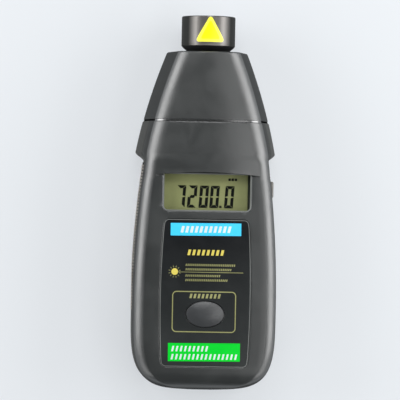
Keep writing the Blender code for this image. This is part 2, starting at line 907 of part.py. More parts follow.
def add_objective_lens():
    """Flat-backed lens whose domed front starts inside its flat rim."""
    dome_radius = ring_inner - seat_gap
    rise = lens_thickness - lens_edge
    curve = (dome_radius**2 + rise**2) / (2 * rise)
    profile = [(0, 0), (lens_rim_radius, 0), (lens_rim_radius, lens_edge)]
    for share in (1.0, 0.75, 0.4):
        radius = dome_radius * share
        height = lens_edge + math.sqrt(curve**2 - radius**2) - (curve - rise)
        profile.append((radius, height))
    profile.append((0, lens_thickness))
    bm = turned_mesh(profile, 32, axis="Y")
    seat = place(head_station) + lens_seat + seat_gap
    return add_object("objective_lens", bm, "lens_glass", (0, seat, barrel_height))


def add_lens_ring():
    """Retaining ring with two slots for a spanner."""
    profile = [
        (ring_inner, 0),
        (lens_rim_radius, 0),
        (lens_rim_radius, lens_ring_depth),
        (ring_inner, lens_ring_depth),
    ]
    start = place(head_station) + ring_floor
    bm = turned_mesh(profile, 32, bored=True, axis="Y")
    ring = add_object("lens_ring", bm, "dark_steel", (0, start, barrel_height))
    slot = lens_ring_width / 2
    low = (-barrel_radius, start + lens_ring_depth / 2, barrel_height - slot)
    high = (barrel_radius, start + lens_ring_depth + overshoot, barrel_height + slot)
    cut(ring, add_block("ring_slot", low, high))
    return ring


def add_optics():
    """Block in the barrel's bore, with the laser module above the photo sensor."""
    start = place(head_station) + optic_back
    end = place(head_station) + optic_front
    across = (0, barrel_height)
    block = add_pin("optic_block", barrel_bore - slide_gap, start, end, across, axis="Y", segments=28)
    laser_z = barrel_height + laser_offset
    sensor_z = barrel_height - sensor_offset
    for name, radius, z in (("laser", laser_radius, laser_z), ("sensor", sensor_radius, sensor_z)):
        hole = radius + seat_gap
        cut(block, add_pin(f"{name}_bore", hole, start - overshoot, end + overshoot, (0, z), axis="Y"))
    bore = laser_radius / 2
    profile = [(bore, 0), (laser_radius, 0), (laser_radius, laser_length), (bore, laser_length)]
    tube = turned_mesh(profile, 24, bored=True, axis="Y")
    add_object("laser_module", tube, "brass", (0, start, laser_z))
    profile = [
        (0, 0),
        (sensor_radius, 0),
        (sensor_radius, sensor_length - sensor_bevel),
        (sensor_radius - sensor_bevel, sensor_length),
        (0, sensor_length),
    ]
    add_object("photo_sensor", turned_mesh(profile, 24, axis="Y"), "bright_steel", (0, start, sensor_z))
    back = start - seat_gap
    half = sensor_board_height / 2
    low = (-sensor_board_width / 2, back - board_thickness, barrel_height - half)
    high = (sensor_board_width / 2, back, barrel_height + half)
    add_block("sensor_board", low, high, "board_laminate")


# Display


def add_display():
    low = (-glass_half_width, place(glass_low), window_plate_floor)
    high = (glass_half_width, place(glass_high), window_plate_top)
    add_block("display_window", low, high, "clear_plastic")
    low = (-glass_half_width, place(glass_low), glass_floor)
    high = (glass_half_width, place(glass_high), glass_top)
    add_block("lcd_glass", low, high, "display_cell")
    add_display_frame()
    strip_half = glass_half_width - 3 * strip_width
    inset = window_plate_rim + seat_gap
    for number, y in enumerate((place(glass_low) + inset, place(glass_high) - inset - strip_width), 1):
        low = (-strip_half, y, board_face + seat_gap)
        high = (strip_half, y + strip_width, glass_floor - seat_gap)
        add_block(f"contact_strip_{number}", low, high, "rubber")


def add_display_frame():
    """Frame on the board, with a ledge that the glass lies on."""
    grow = seat_gap + display_frame_rim
    low = (-glass_half_width - grow, place(glass_low) - grow, board_face + seat_gap)
    high = (glass_half_width + grow, place(glass_high) + grow, glass_top)
    frame = add_block("display_frame", low, high)
    low = (-glass_half_width - seat_gap, place(glass_low) - seat_gap, glass_floor - seat_gap)
    high = (glass_half_width + seat_gap, place(glass_high) + seat_gap, glass_top + overshoot)
    cut(frame, add_block("glass_pocket", low, high))
    ledge = window_plate_rim
    low = (-glass_half_width + ledge, place(glass_low) + ledge, board_face - overshoot)
    high = (glass_half_width - ledge, place(glass_high) - ledge, glass_top)
    cut(frame, add_block("frame_opening", low, high))


# Boards and what they carry


def add_main_board():
    low = (-board_width / 2, place(board_bottom), board_back)
    high = (board_width / 2, place(board_top), board_face)
    board = add_block("main_board", low, high, "board_laminate")
    notch = case_screw_radius + 2 * seat_gap + boss_wall
    low_z = board_back - overshoot
    high_z = board_face + overshoot
    for number, across in enumerate(case_screw_places()[:2], 1):
        cut(board, add_pin(f"board_notch_{number}", notch, low_z, high_z, across))
    hole = board_screw_radius + seat_gap
    for number, across in enumerate(board_screw_places(), 1):
        cut(board, add_pin(f"board_bore_{number}", hole, low_z, high_z, across, segments=16))
    return board


def add_board_parts():
    base = board_face + seat_gap
    half = chip_size / 2
    low = (-half, place(chip_station) - half, base)
    high = (half, place(chip_station) + half, base + chip_height)
    chip = add_block("processor_chip", low, high, "chip_resin")
    soften(chip, chip_bevel, 1)
    long, wide, tall = crystal_size
    low = (-long / 2, place(crystal_station) - wide / 2, base)
    high = (long / 2, place(crystal_station) + wide / 2, base + tall)
    soften(add_block("quartz_crystal", low, high, "bright_steel"), crystal_bevel, 2)
    across = (capacitor_place[0], place(capacitor_place[1]))
    add_pin("capacitor", capacitor_radius, base, base + capacitor_height, across, "can_sleeve")


def add_screw(name, radius, head, head_height, length, across, seat):
    """Pan-head screw that points up, its head below its seat, with a cross slot."""
    profile = [
        (0, -head_height),
        (head * 0.75, -head_height),
        (head, -head_height * 0.55),
        (head, 0),
        (radius, 0),
        (radius, length - radius),
        (radius * 0.3, length),
        (0, length),
    ]
    screw = add_object(name, turned_mesh(profile, 12), "dark_steel", (across[0], across[1], seat))
    slot = head * 0.14
    slot_top = seat - head_height * 0.45
    for turn, long_x, long_y in ((1, head * 0.6, slot), (2, slot, head * 0.6)):
        low = (across[0] - long_x, across[1] - long_y, seat - head_height - overshoot)
        high = (across[0] + long_x, across[1] + long_y, slot_top)
        cut(screw, add_block(f"{name}_slot_{turn}", low, high))
    return screw


def add_screws():
    for number, across in enumerate(case_screw_places(), 1):
        add_screw(f"case_screw_{number}", case_screw_radius, case_screw_head, case_screw_head_height,
                  case_screw_length, across, case_screw_seat)
    for number, across in enumerate(board_screw_places(), 1):
        add_screw(f"board_screw_{number}", board_screw_radius, board_screw_head, board_screw_head_height,
                  board_screw_length, across, board_back - seat_gap)


# Buttons and their switches


def add_memory_button():
    """Oval dome with a flange that stays behind the face."""
    flange_top = inner_face - seat_gap
    flange_low = flange_top - flange_thickness
    edge = face_height + memory_proud - memory_dome
    centre_y = place(memory_station)
    half_long = memory_length / 2
    half_wide = memory_width / 2
    reach = memory_flange + memory_hole_gap
    wide_loop = ellipse(half_long + reach, half_wide + reach)
    layers = [(wide_loop, flange_low), (wide_loop, flange_top)]
    layers += [(ellipse(half_long, half_wide), flange_top), (ellipse(half_long, half_wide), edge)]
    for turn in (22, 50, 74):
        share = math.cos(math.radians(turn))
        rise = memory_dome * math.sin(math.radians(turn))
        layers.append((ellipse(half_long * share, half_wide * share), edge + rise))
    bm = stack_mesh([(points, height - face_height) for points, height in layers])
    return add_object("memory_button", bm, "button_plastic", (0, centre_y, face_height))


def add_memory_switch():
    base = board_face + seat_gap
    half = switch_size / 2
    y = place(memory_station)
    top = base + switch_height
    switch = add_block("memory_switch", (-half, y - half, base), (half, y + half, top))
    bore = plunger_radius + slide_gap
    bore_floor = top - plunger_reach
    cut(switch, add_pin("memory_switch_bore", bore, bore_floor, top + overshoot, (0, y)))
    low = bore_floor + memory_travel + slide_gap
    high = inner_face - seat_gap - flange_thickness - seat_gap
    bm = turned_mesh([(plunger_radius, low - face_height), (plunger_radius, high - face_height)], 24)
    add_object("memory_plunger", bm, "button_plastic", (0, y, face_height))


def test_wall_x():
    """Outside of the case's side where the side button is."""
    return side_at(test_station, test_height)


def test_flange_x():
    """Outer face of the side button's flange, clear of the side where the case is narrower."""
    narrow_station = test_station + test_length / 2 + test_flange
    return side_at(narrow_station, test_height) - wall - seat_gap


def add_test_button():
    """Side button with a flange that stays behind the side."""
    side = test_wall_x()
    flange_top = test_flange_x()
    flange_low = flange_top - flange_thickness
    crest = side + test_proud
    layers = [
        (test_loop(test_flange), flange_low),
        (test_loop(test_flange), flange_top),
        (test_loop(0), flange_top),
        (test_loop(0), crest - test_chamfer),
        (test_loop(-test_chamfer * 0.35), crest - test_chamfer * 0.3),
        (test_loop(-test_chamfer * 0.8), crest),
    ]
    centre = (side, place(test_station), test_height)
    moved = [([(u - centre[1], v - centre[2]) for u, v in points], x - side) for points, x in layers]
    return add_object("test_button", stack_mesh(moved, "X"), "side_button_plastic", centre)


def add_test_switch():
    """Upright board under the main board, with a switch that faces the side button."""
    side = test_wall_x()
    y = place(test_station)
    flange_low = test_flange_x() - flange_thickness
    half = switch_size / 2
    switch_face = flange_low - test_travel - slide_gap
    switch_back = switch_face - switch_height
    low = (switch_back, y - half, test_height - half)
    switch = add_block("test_switch", low, (switch_face, y + half, test_height + half))
    across = (y, test_height)
    bore = plunger_radius + slide_gap
    bore_floor = switch_face - plunger_reach
    bore_end = switch_face + overshoot
    cut(switch, add_pin("test_switch_bore", bore, bore_floor, bore_end, across, axis="X"))
    start = bore_floor + test_travel + slide_gap
    end = flange_low - seat_gap
    bm = turned_mesh([(plunger_radius, start - side), (plunger_radius, end - side)], 24, axis="X")
    add_object("test_plunger", bm, "button_plastic", (side, y, test_height))
    board_front = switch_back - seat_gap
    low = (board_front - board_thickness, y - switch_size, test_height - half - overshoot)
    high = (board_front, y + switch_size, board_back - seat_gap)
    add_block("test_board", low, high, "board_laminate")


# Overlay, cells and battery cover


def add_overlay():
    low = face_height - overlay_recess + film_gap
    layers = [(overlay_loop(0), low), (overlay_loop(0), low + overlay_thickness)]
    overlay = add_object("front_overlay", stack_mesh(layers), "overlay_film")
    hole = memory_loop(memory_hole_gap)
    cut(overlay, guide_prism("overlay_hole", hole, low - overshoot, face_height + overshoot))
    return overlay


def cell_x(index):
    return (index - (cell_count - 1) / 2) * (cell_diameter + cell_spacing)


def add_cells():
    """Cells side by side, each turned the other way round from the one before."""
    radius = cell_diameter / 2
    nub = cell_nub_diameter / 2
    total = cell_length + cell_nub_length
    shoulder = 0.05 * cell_diameter
    profile = [
        (0, 0),
        (radius - shoulder, 0),
        (radius, shoulder),
        (radius, cell_length - shoulder),
        (radius - shoulder, cell_length),
        (nub, cell_length),
        (nub, total),
        (0, total),
    ]
    for index in range(cell_count):
        flipped = index % 2 == 1
        heights = [(r, total - h if flipped else h) for r, h in profile]
        spring_start = contact_floor + (total if flipped else 0)
        cell_start = contact_floor + (0 if flipped else spring_length)
        low = (cell_x(index), place(cell_start), cell_height)
        add_object(f"cell_{index + 1}", turned_mesh(heights, 18, axis="Y"), "cell_jacket", low)
        add_spring(f"cell_spring_{index + 1}", cell_x(index), place(spring_start), flipped)


def add_spring(name, x, start, flipped):
    """Conical coil of round wire, wide at the contact plate and narrow at the cell."""
    wire = spring_wire / 2
    steps = 7 * spring_turns
    sides = 5
    rings = []
    reach = spring_length - seat_gap - spring_wire
    for step in range(steps + 1):
        share = step / steps
        turn = 2 * math.pi * spring_turns * share
        radius = mix(spring_base_radius, spring_top_radius, share)
        height = wire + reach * share
        outward = Vector((math.cos(turn), 0, math.sin(turn)))
        upward = Vector((0, 1, 0))
        middle = outward * radius + upward * height
        turns = [2 * math.pi * side / sides for side in range(sides)]
        rings.append([middle + wire * (math.cos(a) * outward + math.sin(a) * upward) for a in turns])
    bm = loft_mesh(rings)
    if flipped:
        bmesh.ops.rotate(bm, verts=bm.verts, matrix=Matrix.Rotation(math.pi, 3, "Z"))
        start += spring_length - seat_gap
    else:
        start += seat_gap / 2
    return add_object(name, bm, "bright_steel", (x, start, cell_height), sharp_angle=60)


def add_contacts():
    """Plates that join the cells in a row: two at the low end, three at the high end."""
    half = contact_width / 2
    low_y = place(bay_start + seat_gap)
    high_y = place(bay_end - seat_gap - contact_thickness)
    spans = [(0, 1, low_y), (2, 3, low_y), (1, 2, high_y), (0, 0, high_y), (3, 3, high_y)]
    for number, (first, last, y) in enumerate(spans, 1):
        low = (cell_x(first) - half, y, cell_height - half)
        high = (cell_x(last) + half, y + contact_thickness, cell_height + half)
        add_block(f"cell_contact_{number}", low, high, "bright_steel")


def add_battery_cover():
    """Sliding cover: the rounded end strip, the flat plate and the two tongued rails."""
    cover = add_case_body("battery_cover", "rear", rear_rows(), "rear_plastic")
    reach = body_half_width + overshoot
    low = (-reach, place(0) - overshoot, -overshoot)
    keep = add_block("cover_keep", low, (reach, place(cover_end), tongue_top))
    low = (-cover_half_width, place(cover_end) - overshoot, -overshoot)
    high = (cover_half_width, place(bay_end - slide_gap), cover_plate)
    join(keep, add_block("cover_keep_plate", low, high))
    combine(cover, keep, "INTERSECT")
    for side in (-1, 1):
        inner = cover_half_width - cover_rail
        outer = cover_half_width + cover_tongue_reach
        tongue_low = cover_plate + slide_gap
        section = [
            (inner, cover_plate / 2),
            (cover_half_width, cover_plate / 2),
            (cover_half_width, tongue_low),
            (outer, tongue_low),
            (outer, tongue_top),
            (inner, tongue_top),
        ]
        points = [(side * x, z) for x, z in section]
        layers = [(points, place(cover_end) - overshoot), (points, place(bay_end) - overshoot)]
        join(cover, add_object(f"cover_rail_{side + 2}", stack_mesh(layers, "Y"), "rear_plastic"))
    for index in range(grip_groove_count):
        y = place(grip_station) + index * grip_groove_pitch
        low = (-grip_groove_length / 2, y, -overshoot)
        high = (grip_groove_length / 2, y + grip_groove_width, grip_groove_depth)
        cut(cover, add_block(f"grip_groove_{index + 1}", low, high))
    return cover


# Leads


def route_points(corners, step):
    """Points along a smooth curve through the corners, a step apart."""
    stops = [Vector(corner) for corner in corners]
    stops = [2 * stops[0] - stops[1]] + stops + [2 * stops[-1] - stops[-2]]
    points = []
    for before, start, end, after in zip(stops, stops[1:], stops[2:], stops[3:]):
        count = max(2, round((end - start).length / step))
        for index in range(count):
            t = index / count
            point = 2 * start + (end - before) * t
            point += (2 * before - 5 * start + 4 * end - after) * t**2
            point += (3 * start - before - 3 * end + after) * t**3
            points.append(point / 2)
    points.append(stops[-2])
    return points


def add_lead(name, corners, radius, finish):
    curve = bpy.data.curves.new(name, "CURVE")
    curve.dimensions = "3D"
    curve.bevel_depth = radius
    curve.bevel_resolution = 2
    curve.use_fill_caps = True
    curve.materials.append(finish_material(finish))
    points = route_points(corners, 5 * radius)
    spline = curve.splines.new("POLY")
    spline.points.add(len(points) - 1)
    for target, point in zip(spline.points, points):
        target.co = (*point, 1.0)
    item = bpy.data.objects.new(name, curve)
    bpy.context.collection.objects.link(item)
    return item


def add_leads():
    start = bay_end
    rise = board_back - seat_gap - cell_height
    inward = lead_hole_x - lead_run
    for name, side, finish in (("battery_lead_1", -1, "red_wire"), ("battery_lead_2", 1, "black_wire")):
        corners = [
            (side * lead_hole_x, place(start), cell_height),
            (side * lead_hole_x, place(start + lead_run), cell_height),
            (side * inward, place(start + 2 * lead_run), cell_height + rise / 3),
            (side * inward, place(start + 2.5 * lead_run), cell_height + 2 * rise / 3),
            (side * inward, place(start + 2.5 * lead_run), cell_height + rise),
        ]
        add_lead(name, corners, lead_radius, finish)
    back = optic_back + head_station - 2 * seat_gap - board_thickness
    corners = [
        (0, place(back), barrel_height),
        (0, place(mix(board_top, back, 0.75)), barrel_height),
        (0, place(mix(board_top, back, 0.3)), mix(barrel_height, board_back, 0.2)),
        (0, place(board_top - lead_run), mix(barrel_height, board_back, 0.4)),
        (0, place(board_top - 2 * lead_run), mix(barrel_height, board_back, 0.6)),
        (0, place(board_top - 2 * lead_run), board_back - seat_gap),
    ]
    add_lead("sensor_lead", corners, ribbon_radius, "ribbon_cable")


def build():
    clear_scene()
    add_front_shell()
    add_rear_shell()
    add_head_cap()
    add_lens_barrel()
    add_objective_lens()
    add_lens_ring()
    add_optics()
    add_display()
    add_main_board()
    add_board_parts()
    add_screws()
    add_memory_button()
    add_memory_switch()
    add_test_button()
    add_test_switch()
    add_overlay()
    add_cells()
    add_contacts()
    add_battery_cover()
    add_leads()


build()
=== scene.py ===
# Hand-held laser tachometer, lying on its back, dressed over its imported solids
import math

import bmesh
import bpy
from mathutils import Matrix, Vector


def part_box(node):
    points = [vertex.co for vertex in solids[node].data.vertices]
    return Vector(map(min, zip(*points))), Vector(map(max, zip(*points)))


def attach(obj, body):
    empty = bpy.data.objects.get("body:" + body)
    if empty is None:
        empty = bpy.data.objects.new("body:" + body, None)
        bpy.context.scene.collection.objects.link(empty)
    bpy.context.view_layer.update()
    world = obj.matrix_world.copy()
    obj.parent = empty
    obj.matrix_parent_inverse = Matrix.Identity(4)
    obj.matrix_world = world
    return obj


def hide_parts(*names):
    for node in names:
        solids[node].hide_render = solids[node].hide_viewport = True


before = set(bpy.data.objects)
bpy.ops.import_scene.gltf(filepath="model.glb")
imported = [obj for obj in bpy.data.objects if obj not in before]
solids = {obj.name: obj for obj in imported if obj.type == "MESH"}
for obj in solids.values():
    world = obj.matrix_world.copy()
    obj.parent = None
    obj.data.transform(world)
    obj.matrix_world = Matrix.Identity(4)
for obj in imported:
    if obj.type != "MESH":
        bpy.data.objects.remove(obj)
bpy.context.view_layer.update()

mm = 0.001
scene = bpy.context.scene
print("frame loaded:", len(solids), "solids")

# Shapes are written in millimetres: X across, Y towards the lens, Z out of the face.
# A station is a distance from the bottom end.


def tone(red, green, blue):
    # linear colour of a value read on a 0 to 255 scale
    values = []
    for part in (red, green, blue):
        share = part / 255
        values.append(share / 12.92 if share <= 0.04045 else ((share + 0.055) / 1.055) ** 2.4)
    return (*values, 1.0)


def addNode(tree, kind, inputs=None, **values):
    node = tree.nodes.new(kind)
    for key, value in values.items():
        setattr(node, key, value)
    for key, value in (inputs or {}).items():
        if isinstance(value, bpy.types.NodeSocket):
            tree.links.new(value, node.inputs[key])
        else:
            node.inputs[key].default_value = value
    return node


def combine(tree, operation, first, second):
    return addNode(tree, "ShaderNodeMath", {0: first, 1: second}, operation=operation).outputs[0]


def remap(tree, value, source=(0.0, 1.0), target=(0.0, 1.0), curve="LINEAR"):
    return addNode(tree, "ShaderNodeMapRange", {
        "Value": value, "From Min": source[0], "From Max": source[1], "To Min": target[0], "To Max": target[1]},
        interpolation_type=curve).outputs["Result"]


def newGroup(name, inputs, output):
    # group with named sockets; an input of None is a vector that has to be linked
    tree = bpy.data.node_groups.new(name, "ShaderNodeTree")
    for label, value in inputs.items():
        kind = "NodeSocketFloat" if isinstance(value, float) else "NodeSocketVector"
        socket = tree.interface.new_socket(label, in_out="INPUT", socket_type=kind)
        if value is not None:
            socket.default_value = value
    tree.interface.new_socket(output, in_out="OUTPUT", socket_type="NodeSocketFloat")
    return tree, tree.nodes.new("NodeGroupInput").outputs


def closeGroup(tree, result):
    tree.links.new(result, tree.nodes.new("NodeGroupOutput").inputs[0])
    return tree


def buildGrainGroup():
    # fine pits of a moulded or blasted surface
    tree, start = newGroup("mouldedGrain", {"Vector": None, "Scale": 2500.0, "Roughening": 0.6}, "Height")
    coarse = addNode(tree, "ShaderNodeTexNoise", {
        "Vector": start["Vector"], "Scale": start["Scale"], "Detail": 2.0, "Roughness": start["Roughening"]})
    pits = addNode(tree, "ShaderNodeTexVoronoi", {"Vector": start["Vector"], "Scale": start["Scale"]})
    return closeGroup(tree, combine(tree, "ADD", coarse.outputs["Fac"], pits.outputs["Distance"]))


def buildSmudgeGroup():
    # soft cloudy mask for handling marks and uneven colour
    tree, start = newGroup("softSmudges", {"Vector": None, "Scale": 60.0, "Low": 0.35, "High": 0.7}, "Mask")
    cloud = addNode(tree, "ShaderNodeTexNoise", {
        "Vector": start["Vector"], "Scale": start["Scale"], "Detail": 4.0, "Roughness": 0.55, "Distortion": 0.4})
    return closeGroup(tree, remap(tree, cloud.outputs["Fac"], (start["Low"], start["High"]), curve="SMOOTHSTEP"))


def buildWearGroup():
    # lighter rub on outward edges, broken up by noise
    tree, start = newGroup("edgeWear", {
        "Vector": None, "Start": 0.53, "Full": 0.62, "Breaking": 300.0, "Amount": 0.5}, "Mask")
    shape = addNode(tree, "ShaderNodeNewGeometry")
    edge = remap(tree, shape.outputs["Pointiness"], (start["Start"], start["Full"]), curve="SMOOTHSTEP")
    noise = addNode(tree, "ShaderNodeTexNoise", {
        "Vector": start["Vector"], "Scale": start["Breaking"], "Detail": 3.0})
    broken = combine(tree, "MULTIPLY", edge, noise.outputs["Fac"])
    return closeGroup(tree, combine(tree, "MULTIPLY", broken, start["Amount"]))


def buildBrushGroup():
    # fine lines that run round a turned or drawn piece
    tree, start = newGroup("turningLines", {"Vector": None, "Stretch": (60.0, 2500.0, 60.0)}, "Height")
    stretched = addNode(tree, "ShaderNodeVectorMath", {0: start["Vector"], 1: start["Stretch"]},
                        operation="MULTIPLY")
    lines = addNode(tree, "ShaderNodeTexNoise", {
        "Vector": stretched.outputs["Vector"], "Scale": 1.0, "Detail": 3.0, "Roughness": 0.6})
    return closeGroup(tree, lines.outputs["Fac"])


def buildRampGroup(name, vector, part, low, high):
    # 0 where one part of a vector is at the first value, 1 where it is at the second
    tree, start = newGroup(name, {vector: None, low[0]: low[1], high[0]: high[1]}, "Mask")
    parts = addNode(tree, "ShaderNodeSeparateXYZ", {"Vector": start[vector]})
    return closeGroup(tree, remap(tree, parts.outputs[part], (start[low[0]], start[high[0]])))


# the length ramp runs along the instrument in metres and lays painted shade, darker towards the head; the
# steep-side mask is 0 on the face and 1 on the steep sides, which are rougher and carry painted shade as a darker
# colour and lower gloss
effects = {
    "fade": buildRampGroup("paintedShadeRamp", "Vector", "Y", ("Start", 0.0), ("Full", 0.1)),
    "steep": buildRampGroup("sideShadeMask", "Normal", "Z", ("Face", 0.62), ("Side", 0.34)),
    "grain": buildGrainGroup(),
    "smudges": buildSmudgeGroup(),
    "wear": buildWearGroup(),
    "lines": buildBrushGroup(),
}


def surface(colour, rough, uneven, grain, slot, **more):
    # rough is (clean, handled); grain is (scale per metre, depth in metres)
    return {"colour": tone(*colour), "rough": rough, "uneven": uneven, "grain": grain, "slot": slot, **more}


def ink(colour, uneven, **more):
    return surface(colour, (0.34, 0.42), uneven, (3600, 0.000006), "overlay_film", **more)


def sleeve(colour, slot):
    # insulation of a wire or cable
    return surface(colour, (0.45, 0.6), 0.1, (1800, 0.00002), slot)


# the side entry is (colour, roughness, gloss), painted shade on the steep sides as a darker colour and lower gloss;
# the length ramp is (colour, start, full), painted shade along the length; wear is (colour, amount)
finishes = {
    "casePlastic": surface((37, 40, 40), (0.33, 0.39), 0.1, (2600, 0.00002), "case_plastic", gloss=0.85, ior=1.6,
                          sides=(tone(34, 36, 36), 0.85, 0.2), wear=(tone(108, 111, 110), 0.5)),
    "rearPlastic": surface((42, 43, 41), (0.62, 0.7), 0.12, (2600, 0.00003), "rear_plastic", gloss=0.3),
    # the rib crests' light brown, with its lighter edge colour, is a painted highlight
    "paintedCrestHighlight": surface((126, 119, 112), (0.24, 0.34), 0.2, (2600, 0.00002), "rear_plastic", gloss=1.0,
                         wear=(tone(170, 158, 142), 0.5)),
    # near-black sheets between the ribs: painted shade
    "paintedRibShade": surface((9, 9, 8), (0.8, 0.9), 0.1, (2600, 0.00002), "rear_plastic", gloss=0.1),
    "neckBlack": surface((24, 25, 26), (0.55, 0.65), 0.1, (3000, 0.00001), "barrel_metal", gloss=0.3),
    # the seal's side colour is painted shade, darker and without gloss
    "sealBlack": surface((10, 11, 11), (0.24, 0.3), 0.1, (3000, 0.000004), "case_plastic", gloss=1.0, ior=1.8,
                        sides=(tone(8, 8, 8), 0.8, 0.0)),
    "whiteInk": ink((212, 226, 226), 0.04),
    "blueInk": ink((62, 202, 248), 0.04),
    "greenInk": ink((0, 203, 46), 0.04, gloss=0.2),
    "goldInk": ink((216, 200, 92), 0.1),
    "dimGoldInk": surface((146, 146, 96), (0.36, 0.44), 0.14, (3600, 0.000006), "overlay_film"),
    # light grey of the strips round the window and the overlay: a painted highlight
    "paintedEdgeHighlight": surface((112, 115, 113), (0.3, 0.4), 0.12, (3000, 0.00001), "case_plastic"),
    # the barrel's side colour is painted shade, much darker than its lit top
    "barrelMetal": surface((108, 105, 102), (0.3, 0.38), 0.06, (4000, 0.000006), "barrel_metal", metal=0.5,
                          sides=(tone(38, 39, 38), 0.7, 0.2), steepFrom=(0.86, 0.62), lines=(60, 3500, 60),
                          wear=(tone(190, 188, 184), 0.6)),
    # the overlay film's ramp colour is painted shade, darker towards the head end
    "overlayFilm": surface((40, 43, 43), (0.34, 0.42), 0.08, (3600, 0.00001), "overlay_film", gloss=0.3,
                          fade=(tone(4, 7, 11), -0.075, -0.012), wear=(tone(80, 84, 86), 0.4)),
    "buttonPlastic": surface((54, 56, 58), (0.34, 0.42), 0.08, (3000, 0.000015), "button_plastic", gloss=0.8,
                            wear=(tone(120, 122, 124), 0.5)),
    "sideButtonPlastic": surface((108, 107, 103), (0.42, 0.5), 0.1, (3000, 0.00002), "side_button_plastic",
                                wear=(tone(150, 148, 142), 0.5)),
    "deepYellow": surface((244, 238, 4), (0.3, 0.38), 0.05, (3000, 0.00001), "barrel_metal"),
    "yellowFilm": surface((248, 244, 84), (0.26, 0.34), 0.05, (3000, 0.00001), "barrel_metal",
                         wear=(tone(252, 250, 160), 0.5)),
    "displayOlive": surface((148, 153, 103), (0.3, 0.36), 0.06, (5000, 0.000003), "display_cell"),
    # dark glass of the cell; the wider strip of it at the window's right is painted shade
    "displayEdgeAndShade": surface((50, 54, 44), (0.3, 0.4), 0.1, (4000, 0.000005), "display_cell"),
    "displayBlack": surface((5, 7, 4), (0.32, 0.4), 0.05, (5000, 0.000003), "display_cell", gloss=0.2),
    "innerPlastic": surface((40, 41, 42), (0.5, 0.6), 0.12, (2200, 0.00003), "inner_plastic",
                           wear=(tone(80, 80, 80), 0.4)),
    "stripRubber": surface((150, 80, 90), (0.7, 0.85), 0.12, (1800, 0.00003), "rubber"),
    "boardLaminate": surface((30, 92, 52), (0.36, 0.48), 0.25, (1500, 0.00002), "board_laminate"),
    "chipResin": surface((28, 28, 30), (0.55, 0.65), 0.1, (3200, 0.00002), "chip_resin"),
    "brightSteel": surface((190, 190, 188), (0.24, 0.36), 0.08, (2600, 0.000006), "bright_steel", metal=1.0,
                          lines=(300, 300, 2400)),
    "darkSteel": surface((74, 74, 76), (0.32, 0.44), 0.15, (2600, 0.00001), "dark_steel", metal=1.0,
                        wear=(tone(150, 150, 148), 0.7)),
    "turnedBrass": surface((190, 150, 80), (0.24, 0.36), 0.12, (2600, 0.00001), "brass", metal=1.0,
                          lines=(60, 2600, 60)),
    "cellJacket": surface((52, 84, 128), (0.26, 0.36), 0.06, (1500, 0.00001), "cell_jacket", metal=0.3),
    "cellBand": surface((188, 190, 192), (0.24, 0.34), 0.06, (1500, 0.00001), "cell_jacket", metal=0.5),
    "canSleeve": surface((32, 40, 84), (0.36, 0.46), 0.1, (1500, 0.00002), "can_sleeve"),
    "redWire": sleeve((170, 30, 28), "red_wire"),
    "blackWire": sleeve((26, 26, 26), "black_wire"),
    "greyCable": sleeve((150, 150, 150), "ribbon_cable"),
    "clearPlastic": surface((48, 52, 46), (0.05, 0.1), 0.03, (900, 0.000002), "clear_plastic", alpha=0.07),
    "lensGlass": surface((226, 232, 238), (0.02, 0.05), 0.03, (600, 0.000001), "lens_glass", glass=1.0, coat=0.4),
}
smudgeScale = 70.0
bumpStrength = 0.6
plainGloss = 0.5


def makeFinish(name, look):
    material = bpy.data.materials.new(name)
    material.use_nodes = True
    tree = material.node_tree
    shader = tree.nodes["Principled BSDF"]
    coords = addNode(tree, "ShaderNodeTexCoord")
    spot = coords.outputs["Object"]

    def effect(kind, **inputs):
        return addNode(tree, "ShaderNodeGroup", inputs, node_tree=effects[kind]).outputs[0]

    def mixed(mask, under, over):
        return addNode(tree, "ShaderNodeMix", {"Factor": mask, 6: under, 7: over}, data_type="RGBA").outputs[2]

    cloud = effect("smudges", Vector=spot, Scale=smudgeScale)
    darker, lighter = ((*(min(part * (1 + change), 1.0) for part in look["colour"][:3]), 1.0)
                       for change in (-look["uneven"], look["uneven"]))
    shade = mixed(cloud, darker, lighter)
    rough = remap(tree, cloud, target=look["rough"])
    gloss = look.get("gloss", plainGloss)
    # painted shade: the ramp darkens the colour along the length
    if "fade" in look:
        over, start, full = look["fade"]
        shade = mixed(effect("fade", Vector=spot, Start=start, Full=full), shade, over)
    # painted shade: the steep sides get a darker colour and lower gloss, as well as more roughness
    if "sides" in look:
        over, sideRough, sideGloss = look["sides"]
        steep = effect("steep", Normal=coords.outputs["Normal"],
                       **dict(zip(("Face", "Side"), look.get("steepFrom", (0.62, 0.34)))))
        shade = mixed(steep, shade, over)
        rough = addNode(tree, "ShaderNodeMix", {"Factor": steep, 2: rough, 3: sideRough},
                        data_type="FLOAT").outputs[0]
        tree.links.new(remap(tree, steep, target=(gloss, sideGloss)), shader.inputs["Specular IOR Level"])
    else:
        shader.inputs["Specular IOR Level"].default_value = gloss
    if "wear" in look:
        over, amount = look["wear"]
        shade = mixed(effect("wear", Vector=spot, Amount=amount), shade, over)
    tree.links.new(shade, shader.inputs["Base Color"])
    tree.links.new(rough, shader.inputs["Roughness"])
    scale, depth = look["grain"]
    height = effect("grain", Vector=spot, Scale=scale)
    if "lines" in look:
        height = combine(tree, "ADD", height, effect("lines", Vector=spot, Stretch=look["lines"]))
    bump = addNode(tree, "ShaderNodeBump", {"Height": height, "Distance": depth, "Strength": bumpStrength})
    tree.links.new(bump.outputs["Normal"], shader.inputs["Normal"])
    for socket, key, usual in (("Metallic", "metal", 0.0), ("IOR", "ior", 1.5), ("Coat Weight", "coat", 0.0),
                               ("Alpha", "alpha", 1.0), ("Transmission Weight", "glass", 0.0)):
        shader.inputs[socket].default_value = look.get(key, usual)
    return material


materials = {name: makeFinish(name, look) for name, look in finishes.items()}
print("finishes made:", len(materials))


# Making meshes

def mix(low, high, share):
    return low + (high - low) * share


